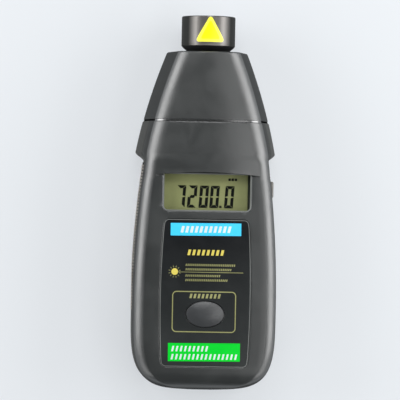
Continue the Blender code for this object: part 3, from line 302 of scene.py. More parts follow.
def smoothStep(value, low, high):
    share = min(max((value - low) / (high - low), 0.0), 1.0)
    return share * share * (3 - 2 * share)


def ringFaces(bm, lower, upper):
    count = max(len(lower), len(upper))
    for index in range(count):
        after = (index + 1) % count
        if len(lower) == 1:
            bm.faces.new((lower[0], upper[after], upper[index]))
        elif len(upper) == 1:
            bm.faces.new((lower[index], lower[after], upper[0]))
        else:
            bm.faces.new((lower[index], lower[after], upper[after], upper[index]))


def loft(rings, closed=False, bm=None):
    # skin through rings of points; a closed one joins its last ring to its first
    bm = bm or bmesh.new()
    rows = [[bm.verts.new(point) for point in ring] for ring in rings]
    for lower, upper in zip(rows, rows[1:]):
        ringFaces(bm, lower, upper)
    if closed:
        ringFaces(bm, rows[-1], rows[0])
        return bm
    for end in (rows[0], rows[-1]):
        if len(end) > 2:
            bm.faces.new(end)
    return bm


def placed(axis, u, v, along):
    return {"X": (along, u, v), "Y": (u, along, v), "Z": (u, v, along)}[axis]


def stack(layers, axis="Z", bm=None):
    # flat loops, each (points, height) along the axis
    return loft([[placed(axis, u, v, height) for u, v in points] for points, height in layers], bm=bm)


def circle(radius, count, middle=(0.0, 0.0)):
    turns = [2 * math.pi * index / count for index in range(count)]
    return [(middle[0] + radius * math.cos(a), middle[1] + radius * math.sin(a)) for a in turns]


def turned(profile, count=64, closed=False, axis="Z", at=(0.0, 0.0, 0.0)):
    # profile is (radius, height) along the axis
    rings = []
    for radius, height in profile:
        points = [(0.0, 0.0)] if radius == 0 else circle(radius, count)
        rings.append([[a + b for a, b in zip(at, placed(axis, u, v, height))] for u, v in points])
    return loft(rings, closed)


def block(low, high):
    bm = bmesh.new()
    bmesh.ops.create_cube(bm, size=1.0)
    bmesh.ops.scale(bm, vec=[b - a for a, b in zip(low, high)], verts=bm.verts)
    bmesh.ops.translate(bm, vec=[(a + b) / 2 for a, b in zip(low, high)], verts=bm.verts)
    return bm


def rounding(radius, turn):
    # (1 - cosine, 1 - sine) of the turn in degrees, times the radius
    return radius * (1 - math.cos(math.radians(turn))), radius * (1 - math.sin(math.radians(turn)))


def cornerArc(middle, radius, firstTurn, steps):
    points = []
    for index in range(steps + 1):
        turn = math.radians(firstTurn + 90 * index / steps)
        points.append((middle[0] + radius * math.cos(turn), middle[1] + radius * math.sin(turn)))
    return points


def roundedLoop(low, high, radius, steps=8, topRadius=None):
    top = radius if topRadius is None else topRadius
    points = cornerArc((low[0] + radius, low[1] + radius), radius, 180, steps)
    points += cornerArc((high[0] - radius, low[1] + radius), radius, 270, steps)
    points += cornerArc((high[0] - top, high[1] - top), top, 0, steps)
    points += cornerArc((low[0] + top, high[1] - top), top, 90, steps)
    return points


def oval(halfLong, halfWide, count=72, middle=(0.0, 0.0)):
    return [(middle[0] + x * halfLong, middle[1] + y * halfWide) for x, y in circle(1.0, count)]


def newItem(name, bm):
    # the millimetre mesh as an object in metres
    bmesh.ops.recalc_face_normals(bm, faces=bm.faces)
    bmesh.ops.scale(bm, vec=(mm, mm, mm), verts=bm.verts)
    mesh = bpy.data.meshes.new(name)
    bm.to_mesh(mesh)
    bm.free()
    item = bpy.data.objects.new(name, mesh)
    scene.collection.objects.link(item)
    return item


def carved(name, bm, steps):
    # solid with others joined to it, cut from it or kept from it, in order
    item = newItem(name, bm)
    tools = []
    for number, (operation, toolMesh) in enumerate(steps):
        tool = newItem(f"{name}_tool_{number}", toolMesh)
        modifier = item.modifiers.new(tool.name, "BOOLEAN")
        modifier.operation = operation
        modifier.solver = "EXACT"
        modifier.object = tool
        tools.append(tool)
    graph = bpy.context.evaluated_depsgraph_get()
    mesh = bpy.data.meshes.new_from_object(item.evaluated_get(graph))
    item.modifiers.clear()
    item.data = mesh
    mesh.name = name
    for tool in tools:
        bpy.data.objects.remove(tool, do_unlink=True)
    return item


def dress(item, finish, body, replaced=(), sharp=30):
    # surface, smooth shading, and the body that the piece rides on
    item.data.materials.clear()
    item.data.materials.append(materials[finish])
    item.data.shade_smooth()
    item.data.set_sharp_from_angle(angle=math.radians(sharp))
    even = item.modifiers.new("evenShading", "WEIGHTED_NORMAL")
    even.keep_sharp = True
    even.weight = 80
    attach(item, body)
    if replaced:
        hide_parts(*replaced)
    return item


# Outline of the case
case = {
    "length": 185.8, "halfWidth": 35.7, "wideAt": 42.0, "endPower": 4.1, "endStart": 0.05,
    "taper": 4.9, "hookAt": 113.0, "shoulderAt": 117.8, "shoulderHalf": 34.9, "seamAt": 133.6,
    "headAt": 168.0, "headHalf": 20.2, "headBow": 1.3, "seamGap": 0.75, "capStep": 0.15,
    "face": 34.6, "browAt": 107.9, "browRise": 2.3, "browArch": 1.5, "browFace": 0.15, "browFade": 0.4,
    "crownPower": 2,
    "headDrop": 1.6, "backRise": 3.0, "backAt": 128.0, "frontRim": 22.25, "rearRim": 21.75,
    "partingStep": 0.15, "widest": 12.0, "bodyFlare": 0.1, "headFlare": 4.4,
    "edge": (5.5, 4.2), "headEdge": (8.0, 5.2), "edgeFlat": 0.45, "backFillet": 6.0, "endFace": 9.0,
    "endBack": 5.0,
    "wall": 2.2, "edgeRound": 0.7, "rimChamfer": 0.3, "browGroove": 0.7, "browGrooveDeep": 0.8,
}
fineness = {"fillet": 12, "crown": 10, "end": 30}


def place(station):
    return station - case["length"] / 2


def halfWidth(station):
    if station < case["wideAt"]:
        away = 1 - max(station, case["endStart"]) / case["wideAt"]
        power = case["endPower"]
        return case["halfWidth"] * (1 - away**power) ** (1 / power)
    along = (station - case["wideAt"]) / (case["hookAt"] - case["wideAt"])
    body = case["halfWidth"] - case["taper"] * along**2
    up = (station - case["shoulderAt"]) / (case["headAt"] - case["shoulderAt"])
    head = mix(case["shoulderHalf"], case["headHalf"], up) + 4 * case["headBow"] * up * (1 - up)
    return mix(body, head, smoothStep(station, case["hookAt"], case["shoulderAt"]))


def flare(station):
    return mix(case["bodyFlare"], case["headFlare"], smoothStep(station, case["hookAt"], case["shoulderAt"]))


def edgeAt(station):
    # run and drop of the soft edge between face and side
    share = smoothStep(station, case["hookAt"], case["shoulderAt"])
    return [mix(low, high, share) for low, high in zip(case["edge"], case["headEdge"])]


def softEdge(side, top, run, drop, steps):
    # a rounding pressed part way towards its chord
    points = []
    for index in range(steps + 1):
        share = index / steps
        turn = math.radians(90 * share)
        out = mix(math.cos(turn), 1 - share, case["edgeFlat"])
        up = mix(math.sin(turn), share, case["edgeFlat"])
        points.append((side - run * (1 - out), top - drop * (1 - up)))
    return points


def endRounding(station, radius):
    inward = max(radius - max(station, case["endStart"]), 0.0)
    return radius - math.sqrt(radius**2 - inward**2)


def faceHeight(station):
    up = max(station - case["shoulderAt"], 0.0) / (case["headAt"] - case["shoulderAt"])
    return case["face"] - case["headDrop"] * up - endRounding(station, case["endFace"])


def backHeight(station):
    up = max(station - case["backAt"], 0.0) / (case["headAt"] - case["backAt"])
    return case["backRise"] * up + endRounding(station, case["endBack"])


def sideAt(station, height):
    straight = faceHeight(station) - edgeAt(station)[1] - case["widest"]
    share = min(max((height - case["widest"]) / straight, 0.0), 1.0)
    return halfWidth(station) - flare(station) * share


def frontHalf(station, inset, rim, crown, step, fine, chamfer, sink=0.0):
    top = faceHeight(station) - inset
    run, drop = (max(size - inset, 0.6) for size in edgeAt(station))
    drop = min(drop, 0.9 * (top - rim))
    side = sideAt(station, top - drop) - step - inset
    foot = sideAt(station, rim) - step - inset
    points = [(foot, rim)]
    if chamfer:
        points = [(foot - case["rimChamfer"], rim), (foot, rim + case["rimChamfer"])]
    points += softEdge(side, top, run, drop, fineness["fillet"] if fine else 4)
    edge = side - run
    parts = fineness["crown"] if fine else 1
    for index in range(1, parts + 1):
        x = edge * (1 - index / parts)
        share = x / edge
        points.append((x, top + crown * (1 - share ** case["crownPower"]) - sink * (1 - share**12)))
    return points


def rearHalf(station, inset, rim, fine, chamfer):
    low = backHeight(station) + inset
    radius = min(max(case["backFillet"] - inset, 0.6), 0.9 * (case["widest"] - low))
    side = halfWidth(station) - inset
    points = cornerArc((side - radius, low + radius), radius, 270, fineness["fillet"] if fine else 4)
    points.append((side, case["widest"]))
    foot = sideAt(station, rim) - inset
    if chamfer:
        points += [(foot, rim - case["rimChamfer"]), (foot - case["rimChamfer"], rim)]
    else:
        points.append((foot, rim))
    return points


def innerStation(station, inset):
    return station - inset * max(1 - station / case["wideAt"], 0.0)


def caseRing(part, station, inset=0.0, rim=None, crown=0.0, arch=0.0, fine=True, sink=0.0):
    source = innerStation(station, inset)
    if part == "front":
        rim = case["frontRim"] if rim is None else rim
        right = frontHalf(source, inset, rim, crown, case["partingStep"], fine, fine, sink)
    elif part == "rear":
        right = rearHalf(source, inset, case["rearRim"] if rim is None else rim, fine, fine)
    else:
        middle = (case["frontRim"] + case["rearRim"]) / 2
        right = rearHalf(source, inset, middle, fine, False)[:-1]
        right += frontHalf(source, inset, middle, crown, 0.0, fine, False)
    left = [(-x, z) for x, z in reversed(right) if x > 0]
    edge = halfWidth(source) - flare(source) - edgeAt(source)[0]
    return [(x, place(station) - arch * min(abs(x) / edge, 1.0) ** 2, z) for x, z in right + left]


def headCrown(station):
    up = (station - case["browAt"]) / (case["headAt"] - case["browAt"])
    return case["browRise"] * (1 - case["browFade"] * up)


def endStations(count, first=0.0):
    reach = case["wideAt"] - first
    stations = [first]
    for index in range(1, count + 1):
        turn = mix(math.radians(3), math.pi / 2, index / count)
        stations.append(first + reach * (1 - max(math.cos(turn), 0.0) ** (2 / case["endPower"])))
    return stations


def spread(low, high, count):
    return [mix(low, high, index / count) for index in range(count + 1)]


def caseLoft(part, rows):
    return loft([caseRing(part, **row) for row in rows])


def seamRound(station, sign):
    # rings that round an edge of the seam, from the full section to the end
    rows = []
    for turn in (90, 60, 30, 0):
        back, inset = rounding(case["edgeRound"], turn)
        rows.append((station + sign * back, inset * 0.6))
    return rows


def shoulderStations(shellEnd):
    return spread(case["hookAt"], case["shoulderAt"], 12) + spread(
        case["shoulderAt"], shellEnd - case["edgeRound"], 5)[1:-1]


def frontRows():
    shellEnd = case["seamAt"] - case["seamGap"] / 2
    body = endStations(fineness["end"]) + spread(case["wideAt"], case["browAt"] - 4.0, 14)[1:]
    rows = [{"station": station} for station in body]
    wide, deep = case["browGroove"], case["browGrooveDeep"]
    for back, sink in ((wide, 0.0), (wide - 0.1, 0.6 * deep), (wide * 0.6, deep), (0.1, deep)):
        rows.append({"station": case["browAt"] - back, "arch": case["browArch"], "sink": sink})
    rows.append({"station": case["browAt"] + case["browFace"], "arch": case["browArch"],
                 "crown": headCrown(case["browAt"])})
    above = [case["browAt"] + 3.0] + shoulderStations(shellEnd)
    rows += [{"station": station, "crown": headCrown(station)} for station in above]
    for station, inset in seamRound(shellEnd, -1):
        rows.append({"station": station, "inset": inset, "crown": headCrown(shellEnd)})
    return rows


def rearRows():
    shellEnd = case["seamAt"] - case["seamGap"] / 2
    stations = endStations(fineness["end"]) + spread(case["wideAt"], case["hookAt"], 14)[1:-1]
    stations += shoulderStations(shellEnd)
    rows = [{"station": station} for station in stations]
    rows += [{"station": station, "inset": inset} for station, inset in seamRound(shellEnd, -1)]
    return rows


def hollowRows(rim):
    stations = endStations(8, case["wall"]) + spread(case["wideAt"], case["hookAt"], 3)[1:-1]
    stations += spread(case["hookAt"], case["shoulderAt"], 4) + [case["backAt"], case["seamAt"] - 4.0]
    return [{"station": station, "inset": case["wall"], "rim": rim, "fine": False} for station in stations]


def collarRows(inset, rim, low, high):
    return [{"station": station, "inset": inset, "rim": rim, "fine": False} for station in (low, high)]


collar = {"inset": case["capStep"] + case["wall"] + 0.3, "root": 4.0, "length": 5.0, "wall": 1.6}


def collarSteps(part, rim, openRim):
    # collar that the head cap slips over, and the throat through it
    low = case["seamAt"] - collar["root"]
    high = case["seamAt"] + collar["length"]
    inner = collar["inset"] + collar["wall"]
    ring = caseLoft(part, collarRows(collar["inset"], rim, low + 1, high))
    hollow = caseLoft(part, hollowRows(openRim))
    throat = caseLoft(part, collarRows(inner, openRim, low - 1, high + 1))
    return [("UNION", ring), ("DIFFERENCE", hollow), ("DIFFERENCE", throat)]


screwPlaces = [(-26.6, place(79.2)), (26.6, place(79.2)), (-20.0, place(122.5)), (20.0, place(122.5))]
boardScrewPlaces = [(-18.0, place(58.0)), (18.0, place(58.0))]


def pin(radius, low, high, across, axis="Z", count=24):
    return turned([(radius, 0), (radius, high - low)], count, axis=axis, at=placed(axis, *across, low))


# Overlay, window and buttons share their outlines with the holes in the shells
# the overlay's edge line is the width of a light strip round it, a painted highlight of its bevel
overlay = {"bottom": 11.6, "top": 84.6, "wide": 45.0, "narrow": 42.0, "wideAt": 45.0, "corner": 2.4,
           "floor": 34.25, "thick": 0.4, "recess": 34.15, "bevel": 0.35, "highlightLine": 0.3}
# the window's rim values size the light strip round its mouth, a painted highlight of its bevel
window = {"half": 21.9, "low": 88.7, "high": 107.5, "corner": 2.5, "bevel": 0.35, "plateRim": 1.2,
          "rim": 0.55, "highlightTop": 34.45, "plate": (30.7, 32.1), "cell": (28.2, 30.4)}
memory = {"at": 37.7, "half": (9.4, 6.4), "gap": 0.7, "top": 35.6, "dome": 1.3, "lip": 0.25, "sheetGap": 0.3,
          "flange": 1.8, "flangeTop": 32.1, "flangeLow": 30.6}
sideKey = {"at": 100.0, "half": (4.1, 4.8), "height": 13.0, "round": 0.9, "gap": 0.3,
           "flange": 1.6, "thick": 1.5, "groovePitch": 1.7}
bay = {"start": 13.8, "end": 72.0, "half": 29.5, "ceiling": 16.6, "wall": 1.5, "cell": 9.15,
       "leadHole": 18.55, "track": 30.9}
cover = {"plate": 1.7, "end": 13.5, "half": 29.2, "tongue": (2.0, 3.2), "reach": 1.4, "rail": 2.0,
         "grooves": 6, "groovePitch": 2.4, "grooveWide": 1.1, "grooveDeep": 0.5, "grooveLong": 20.0,
         "groovesAt": 18.0, "arrowDeep": 0.35,
         "arrow": [(-4.0, 45.0), (0.0, 39.0), (4.0, 45.0), (1.4, 45.0), (1.4, 51.0), (-1.4, 51.0), (-1.4, 45.0)]}
# the ribs' bed value is how far the dark sheets of painted shade between them reach out
ribs = {"pitch": 1.55, "wide": 0.78, "proud": 0.8, "shadeReach": 0.42, "core": (0.74, 0.3), "limit": 36.1,
        "low": 7.5, "high": 18.0, "from": 39.5, "to": 112.0, "keyGap": 1.8}


def overlayLoop(grow):
    low = overlay["bottom"] - grow
    high = overlay["top"] + grow
    radius = overlay["corner"] + grow

    def halfAt(station):
        away = (station - overlay["wideAt"]) / (overlay["top"] - overlay["wideAt"])
        return overlay["wide"] / 2 - (overlay["wide"] - overlay["narrow"]) / 2 * away**2 + grow

    right = cornerArc((halfAt(low) - radius, place(low) + radius), radius, 270, 8)
    right += [(halfAt(station), place(station)) for station in spread(low + 4, high - 4, 16)]
    right += cornerArc((halfAt(high) - radius, place(high) - radius), radius, 0, 8)
    return right + [(-x, y) for x, y in reversed(right)]


def windowLoop(grow):
    low = (-window["half"] - grow, place(window["low"]) - grow)
    high = (window["half"] + grow, place(window["high"]) + min(grow, 0.1))
    return roundedLoop(low, high, window["corner"] + grow, 8, topRadius=0.2)


def memoryLoop(grow):
    return oval(memory["half"][0] + grow, memory["half"][1] + grow, middle=(0.0, place(memory["at"])))


def sideLoop(grow):
    halfLong, halfTall = (half + grow for half in sideKey["half"])
    middle = place(sideKey["at"])
    low = (middle - halfLong, sideKey["height"] - halfTall)
    high = (middle + halfLong, sideKey["height"] + halfTall)
    return roundedLoop(low, high, sideKey["round"] + grow + 0.3, 6)


def flaredCut(loopAt, low, face, bevel, over=1.0):
    # hole or recess whose mouth is rounded over at the face; over is how far the cut goes on above it
    layers = [(loopAt(0.0), low), (loopAt(0.0), face - bevel)]
    for turn in (30, 60, 90):
        out, down = rounding(bevel, turn)
        layers.append((loopAt(out), face - down))
    layers.append((loopAt(bevel), face + over))
    return stack(layers)


# Screw posts: a post and the bore in it, each (radius, low, high), and the deeper hole for a screw's head
posts = {
    "front": {"places": screwPlaces, "post": (3.4, case["frontRim"], 32.9), "bore": (1.8, 21.0, 28.0)},
    "board": {"places": boardScrewPlaces, "post": (3.0, 25.7, 32.9), "bore": (1.4, 24.7, 30.2)},
    "rear": {"places": screwPlaces, "post": (4.6, 1.1, case["rearRim"]), "bore": (1.8, 5.0, 23.0),
             "headHole": [(3.0, 0), (3.0, 6.6), (3.4, 7.0), (3.4, 8.0)], "headSeat": 6.0},
}


def postSteps():
    # screw posts under the face
    steps = []
    for post in (posts["front"], posts["board"]):
        for across in post["places"]:
            steps.append(("UNION", pin(*post["post"], across)))
            steps.append(("DIFFERENCE", pin(*post["bore"], across)))
    return steps


def addFrontCase():
    face = case["face"]
    steps = collarSteps("front", case["frontRim"], case["frontRim"] - 1) + postSteps()
    steps.append(("DIFFERENCE", flaredCut(windowLoop, 31.0, face, window["bevel"], 0.12)))
    steps.append(("DIFFERENCE", flaredCut(lambda grow: overlayLoop(grow + 0.1), overlay["recess"], face,
                                          overlay["bevel"])))
    steps.append(("DIFFERENCE", stack([(memoryLoop(memory["gap"]), 31.0), (memoryLoop(memory["gap"]), 36.0)])))
    shell = carved("frontCase", caseLoft("front", frontRows()), steps)
    return dress(shell, "casePlastic", "case", ["front_shell"], sharp=34)


def ribMesh(wide, proud):
    # grip ribs with rounded crests, stopping short of the side key
    bm = bmesh.new()
    count = int((ribs["to"] - ribs["from"]) / ribs["pitch"]) + 1
    for side in (-1, 1):
        for index in range(count):
            station = ribs["from"] + index * ribs["pitch"]
            if side > 0 and abs(station - sideKey["at"]) <= sideKey["half"][0] + ribs["pitch"]:
                continue
            base = halfWidth(station)
            rings = []
            for height, share in ((ribs["low"] - 0.2, 0.0), (ribs["low"] + 0.3, 0.8), (ribs["low"] + 0.8, 1.0),
                                  (ribs["high"] - 0.8, 1.0), (ribs["high"] - 0.3, 0.8), (ribs["high"] + 0.2, 0.0)):
                crest = min(base + (proud + 0.3) * share - 0.3, ribs["limit"])
                section = [(base - 1.1, -0.5), (crest - 0.12, -0.46), (crest, -0.22), (crest, 0.22),
                           (crest - 0.12, 0.46), (base - 1.1, 0.5)]
                rings.append([(side * x, place(station) + along * wide, height) for x, along in section])
            loft(rings, bm=bm)
    return bm


def addRibShadeSheets():
    # dark sheets that show between the ribs of each side, painted shade in the gaps
    bm = bmesh.new()
    for side in (-1, 1):
        rings = []
        last = ribs["to"] if side < 0 else sideKey["at"] - sideKey["half"][0] - ribs["keyGap"]
        for station in spread(ribs["from"] - 0.6, last + 0.6, 40):
            base = halfWidth(station)
            floor = min(base + ribs["shadeReach"], ribs["limit"] - 0.3)
            section = [(base - 0.3, ribs["low"]), (floor, ribs["low"] + 0.5), (floor, ribs["high"] - 0.5),
                       (base - 0.3, ribs["high"] - 0.2)]
            rings.append([(side * x, place(station), height) for x, height in section])
        loft(rings, bm=bm)
    return dress(newItem("ribShadeSheets", bm), "paintedRibShade", "case", sharp=40)


def addRibCrests():
    # the rib crests, lighter and browner than the moulding: a painted highlight of the light caught on them
    return dress(newItem("ribCrests", ribMesh(ribs["wide"], ribs["proud"])), "paintedCrestHighlight", "case", sharp=40)


def baySteps():
    outer, reach = bay["track"] + 0.75, case["halfWidth"] + 1
    low, high = place(bay["start"]), place(bay["end"])
    stripEnd = place(bay["start"] + 0.3)
    plan = [(reach, place(-1)), (reach, stripEnd + 0.1), (bay["track"], stripEnd + 0.1),
            (bay["track"], high - 0.3)]
    plan += [(-x, y) for x, y in reversed(plan)]
    steps = [
        ("UNION", block((-outer, low - bay["wall"], 1.45),
                        (outer, high + bay["wall"], bay["ceiling"] + bay["wall"]))),
        ("DIFFERENCE", block((-bay["half"], low, -1), (bay["half"], high, bay["ceiling"]))),
        ("DIFFERENCE", stack([(plan, cover["plate"]), (plan, cover["tongue"][1] + 0.3)])),
        ("DIFFERENCE", block((-reach, place(-1), -1), (reach, stripEnd, 2.3))),
    ]
    for side in (-1, 1):
        hole = (side * bay["leadHole"], bay["cell"])
        steps.append(("DIFFERENCE", pin(0.9, high - 1, high + bay["wall"] + 1, hole, axis="Y")))
    return steps


def addRearCase():
    steps = collarSteps("rear", case["rearRim"], case["rearRim"] + 1)
    steps.insert(1, ("UNION", ribMesh(*ribs["core"])))
    steps += baySteps()
    post = posts["rear"]
    for across in post["places"]:
        seat = (*across, post["headSeat"])
        steps.append(("UNION", pin(*post["post"], across, count=32)))
        mouth = turned(post["headHole"], 32, at=seat)
        bmesh.ops.rotate(mouth, verts=mouth.verts, cent=seat, matrix=Matrix.Rotation(math.pi, 3, "X"))
        steps.append(("DIFFERENCE", mouth))
        steps.append(("DIFFERENCE", pin(*post["bore"], across)))
    side = halfWidth(sideKey["at"])
    hole = sideLoop(sideKey["gap"])
    steps.append(("DIFFERENCE", stack([(hole, side - 4.4), (hole, side + 2.2)], axis="X")))
    shell = carved("rearCase", caseLoft("rear", rearRows()), steps)
    return dress(shell, "rearPlastic", "case", ["rear_shell"], sharp=34)


def addHeadCap():
    low = case["seamAt"] + case["seamGap"] / 2
    rows = []
    for station, inset in reversed(seamRound(low, 1)):
        rows.append({"station": station, "inset": case["capStep"] + inset, "crown": headCrown(station)})
    for station in spread(low + case["edgeRound"], case["headAt"] - 1.0, 10)[1:]:
        rows.append({"station": station, "inset": case["capStep"], "crown": headCrown(station)})
    for turn in (30, 60, 90):
        inset, back = rounding(case["edgeRound"], turn)
        station = case["headAt"] - back
        rows.append({"station": station, "inset": case["capStep"] + inset, "crown": headCrown(station)})
    hollow = []
    for station in (low - 1, (low + case["headAt"]) / 2, case["headAt"] - case["wall"]):
        hollow.append({"station": station, "inset": case["capStep"] + case["wall"], "crown": headCrown(station),
                       "fine": False})
    neck = pin(barrel["neck"] + 0.3, place(163.6), place(170.2), (0, barrel["height"]), axis="Y", count=64)
    steps = [("DIFFERENCE", caseLoft("whole", hollow)), ("DIFFERENCE", neck)]
    cap = carved("headCover", caseLoft("whole", rows), steps)
    return dress(cap, "casePlastic", "case", ["head_cap"], sharp=34)


seal = {"halfWide": 0.45, "outer": 0.45, "inner": 1.6}


def addSeamSeal():
    # polished ring in the joint between the case and the head cover
    low, high = case["seamAt"] - seal["halfWide"], case["seamAt"] + seal["halfWide"]
    corners = ((low, "inner"), (low, "outer"), (high, "outer"), (high, "inner"))
    rows = [{"station": station, "inset": seal[inset]} for station, inset in corners]
    rings = [caseRing("whole", crown=headCrown(case["seamAt"]), **row) for row in rows]
    return dress(newItem("seamSeal", loft(rings, closed=True)), "sealBlack", "case", sharp=50)


def addBatteryDoor():
    reach = case["halfWidth"] + 1
    top = cover["tongue"][1]
    keep = [(-reach, place(-1)), (reach, place(-1)), (reach, place(cover["end"])), (-reach, place(cover["end"]))]
    item = caseLoft("rear", rearRows())
    body = carved("doorKeep", stack([(keep, -1.0), (keep, top)]),
                  [("UNION", block((-cover["half"], place(cover["end"]) - 1, -1.0),
                                   (cover["half"], place(bay["end"] - 0.3), cover["plate"])))])
    keepMesh = bmesh.new()
    keepMesh.from_mesh(body.data)
    bmesh.ops.scale(keepMesh, vec=(1 / mm, 1 / mm, 1 / mm), verts=keepMesh.verts)
    bpy.data.objects.remove(body, do_unlink=True)
    steps = [("INTERSECT", keepMesh)]
    low, high = cover["tongue"]
    inner, outer, half = cover["half"] - cover["rail"], cover["half"] + cover["reach"], cover["half"]
    for side in (-1, 1):
        section = [(inner, 0.85), (half, 0.85), (half, low), (outer, low), (outer, high), (inner, high)]
        points = [(side * x, z) for x, z in section]
        rail = stack([(points, place(cover["end"]) - 1), (points, place(bay["end"]) - 1)], axis="Y")
        steps.append(("UNION", rail))
    for index in range(cover["grooves"]):
        y = place(cover["groovesAt"]) + index * cover["groovePitch"]
        half = cover["grooveLong"] / 2
        wide, deep = cover["grooveWide"], cover["grooveDeep"]
        section = [(y, -1.0), (y + wide, -1.0), (y + wide, deep * 0.4), (y + wide * 0.7, deep),
                   (y + wide * 0.3, deep), (y, deep * 0.4)]
        steps.append(("DIFFERENCE", stack([(section, -half), (section, half)], axis="X")))
    mark = [(x, place(station)) for x, station in cover["arrow"]]
    steps.append(("DIFFERENCE", stack([(mark, -1.0), (mark, cover["arrowDeep"])])))
    door = carved("batteryDoor", item, steps)
    return dress(door, "rearPlastic", "cover", ["battery_cover"], sharp=34)


# Lens barrel
barrel = {"radius": 13.4, "length": 14.8, "height": 17.5, "wall": 1.6, "neck": 10.4, "neckLength": 3.0,
          "tail": (-5.35, -4.1, -2.5), "flange": 1.6, "mouthRound": 0.6, "recess": 2.6,
          "ringDeep": 1.6, "ringWide": 1.4, "lensEdge": 1.8, "lensThick": 4.6}


def addBarrel():
    radius, neck, top = barrel["radius"], barrel["neck"], barrel["neckLength"] + barrel["length"]
    pocket, bore = radius - barrel["wall"], neck - barrel["wall"]
    seat = top - barrel["recess"] - barrel["ringDeep"] - barrel["lensEdge"] - 0.6
    foot, low, flangeLow, flangeHigh = barrel["neckLength"], *barrel["tail"]
    flange = neck + barrel["flange"]
    at = (0.0, place(case["headAt"]), barrel["height"])
    under = [(bore, low), (neck, low), (neck, flangeLow), (flange, flangeLow), (flange, flangeHigh),
             (neck, flangeHigh), (neck, 0.3), (radius - 0.75, foot - 0.85), (radius - 0.5, foot - 0.55),
             (radius - 0.15, foot - 0.15), (bore, foot - 0.15)]
    dress(newItem("barrelNeck", turned(under, 96, True, "Y", at)), "neckBlack", "case", sharp=40)
    profile = [(bore, foot - 0.1), (radius - 0.3, foot - 0.1), (radius - 0.08, foot + 0.02), (radius, foot + 0.25),
               (radius, foot + 0.6), (radius - 0.06, foot + 0.7), (radius - 0.06, foot + 0.85),
               (radius, foot + 0.95), (radius, top - barrel["mouthRound"])]
    for turn in (30, 60, 90):
        inward, down = rounding(barrel["mouthRound"], turn)
        profile.append((radius - inward, top - down))
    profile += [(pocket + 0.3, top), (pocket, top - 0.3), (pocket, seat), (bore, seat)]
    tube = newItem("opticBarrel", turned(profile, 96, True, "Y", at))
    return dress(tube, "barrelMetal", "case", ["lens_barrel"], sharp=40)


def addFrontLens():
    top = barrel["neckLength"] + barrel["length"]
    floor = top - barrel["recess"] - barrel["ringDeep"] - 0.3 - barrel["lensEdge"]
    rim = barrel["radius"] - barrel["wall"] - 0.3
    dome = rim - barrel["ringWide"] - 0.3
    rise = barrel["lensThick"] - barrel["lensEdge"]
    curve = (dome**2 + rise**2) / (2 * rise)
    edge = barrel["lensEdge"]
    profile = [(0, 0), (rim - 0.15, 0), (rim, 0.15), (rim, edge - 0.1), (rim - 0.1, edge)]
    for index in range(14, 0, -1):
        radius = dome * index / 14
        profile.append((radius, edge + math.sqrt(curve**2 - radius**2) - (curve - rise)))
    profile.append((0, barrel["lensThick"]))
    at = (0.0, place(case["headAt"]) + floor, barrel["height"])
    lens = newItem("frontLens", turned(profile, 80, False, "Y", at))
    return dress(lens, "lensGlass", "case", ["objective_lens"], sharp=40)


def addLensRing():
    outer = barrel["radius"] - barrel["wall"] - 0.3
    inner, deep = outer - barrel["ringWide"], barrel["ringDeep"]
    start = place(case["headAt"]) + barrel["neckLength"] + barrel["length"] - barrel["recess"] - deep
    profile = [(inner, 0), (outer, 0), (outer, deep - 0.15), (outer - 0.15, deep), (inner + 0.5, deep),
               (inner, deep - 0.5)]
    slots = block((-14, start + deep / 2, barrel["height"] - 0.7), (14, start + deep + 1, barrel["height"] + 0.7))
    item = carved("lensRetainer", turned(profile, 80, True, "Y", (0.0, start, barrel["height"])),
                  [("DIFFERENCE", slots)])
    return dress(item, "darkSteel", "case", ["lens_ring"], sharp=30)


triangles = {
    "yellowTriangle": {"base": 172.75, "tip": 186.4, "half": 7.8, "corner": 1.2, "middle": 0.2, "thick": 0.1,
                       "finish": "yellowFilm"},
    "innerTriangle": {"base": 174.2, "tip": 184.0, "half": 5.0, "corner": 0.7, "middle": 0.2, "thick": 0.13,
                      "finish": "deepYellow"},
}


def roundedTriangleHalf(along, tall, half, corner):
    # half the width at a height above the base of a triangle whose corners are rounded
    slope = half / tall
    lean = math.hypot(1, slope)
    widest = 0.0
    for index in range(61):
        middle = mix(corner, tall - corner * lean / slope, index / 60)
        away = along - middle
        if abs(away) <= corner:
            reach = half - slope * middle - corner * lean
            widest = max(widest, reach + math.sqrt(corner**2 - away**2))
    return widest


def addTriangle(name, triangle):
    # plain yellow label wrapped over the barrel, with a deeper field inside it
    tall = triangle["tip"] - triangle["base"]
    rings = []
    stations = [0.02, 0.1, 0.25, 0.5, 0.9] + spread(1.2, tall - 1.6, 14)
    tipGap = tall - triangle["corner"] * math.hypot(1, triangle["half"] / tall) / (triangle["half"] / tall)
    tipTop = tipGap + triangle["corner"]
    stations = [along for along in stations if along < tipTop - 1.0]
    stations += [tipTop - back for back in (0.9, 0.6, 0.4, 0.2, 0.08, 0.01)]
    for along in stations:
        half = max(roundedTriangleHalf(along, tall, triangle["half"], triangle["corner"]), 0.05)
        ring = []
        for lift, order in ((triangle["thick"], 1), (0.015, -1)):
            for x in spread(-half, half, 24)[::order]:
                turn = (x + triangle["middle"]) / barrel["radius"]
                radius = barrel["radius"] + lift
                ring.append((radius * math.sin(turn), place(triangle["base"] + along),
                             barrel["height"] + radius * math.cos(turn)))
        rings.append(ring)
    return dress(newItem(name, loft(rings)), triangle["finish"], "case", sharp=50)


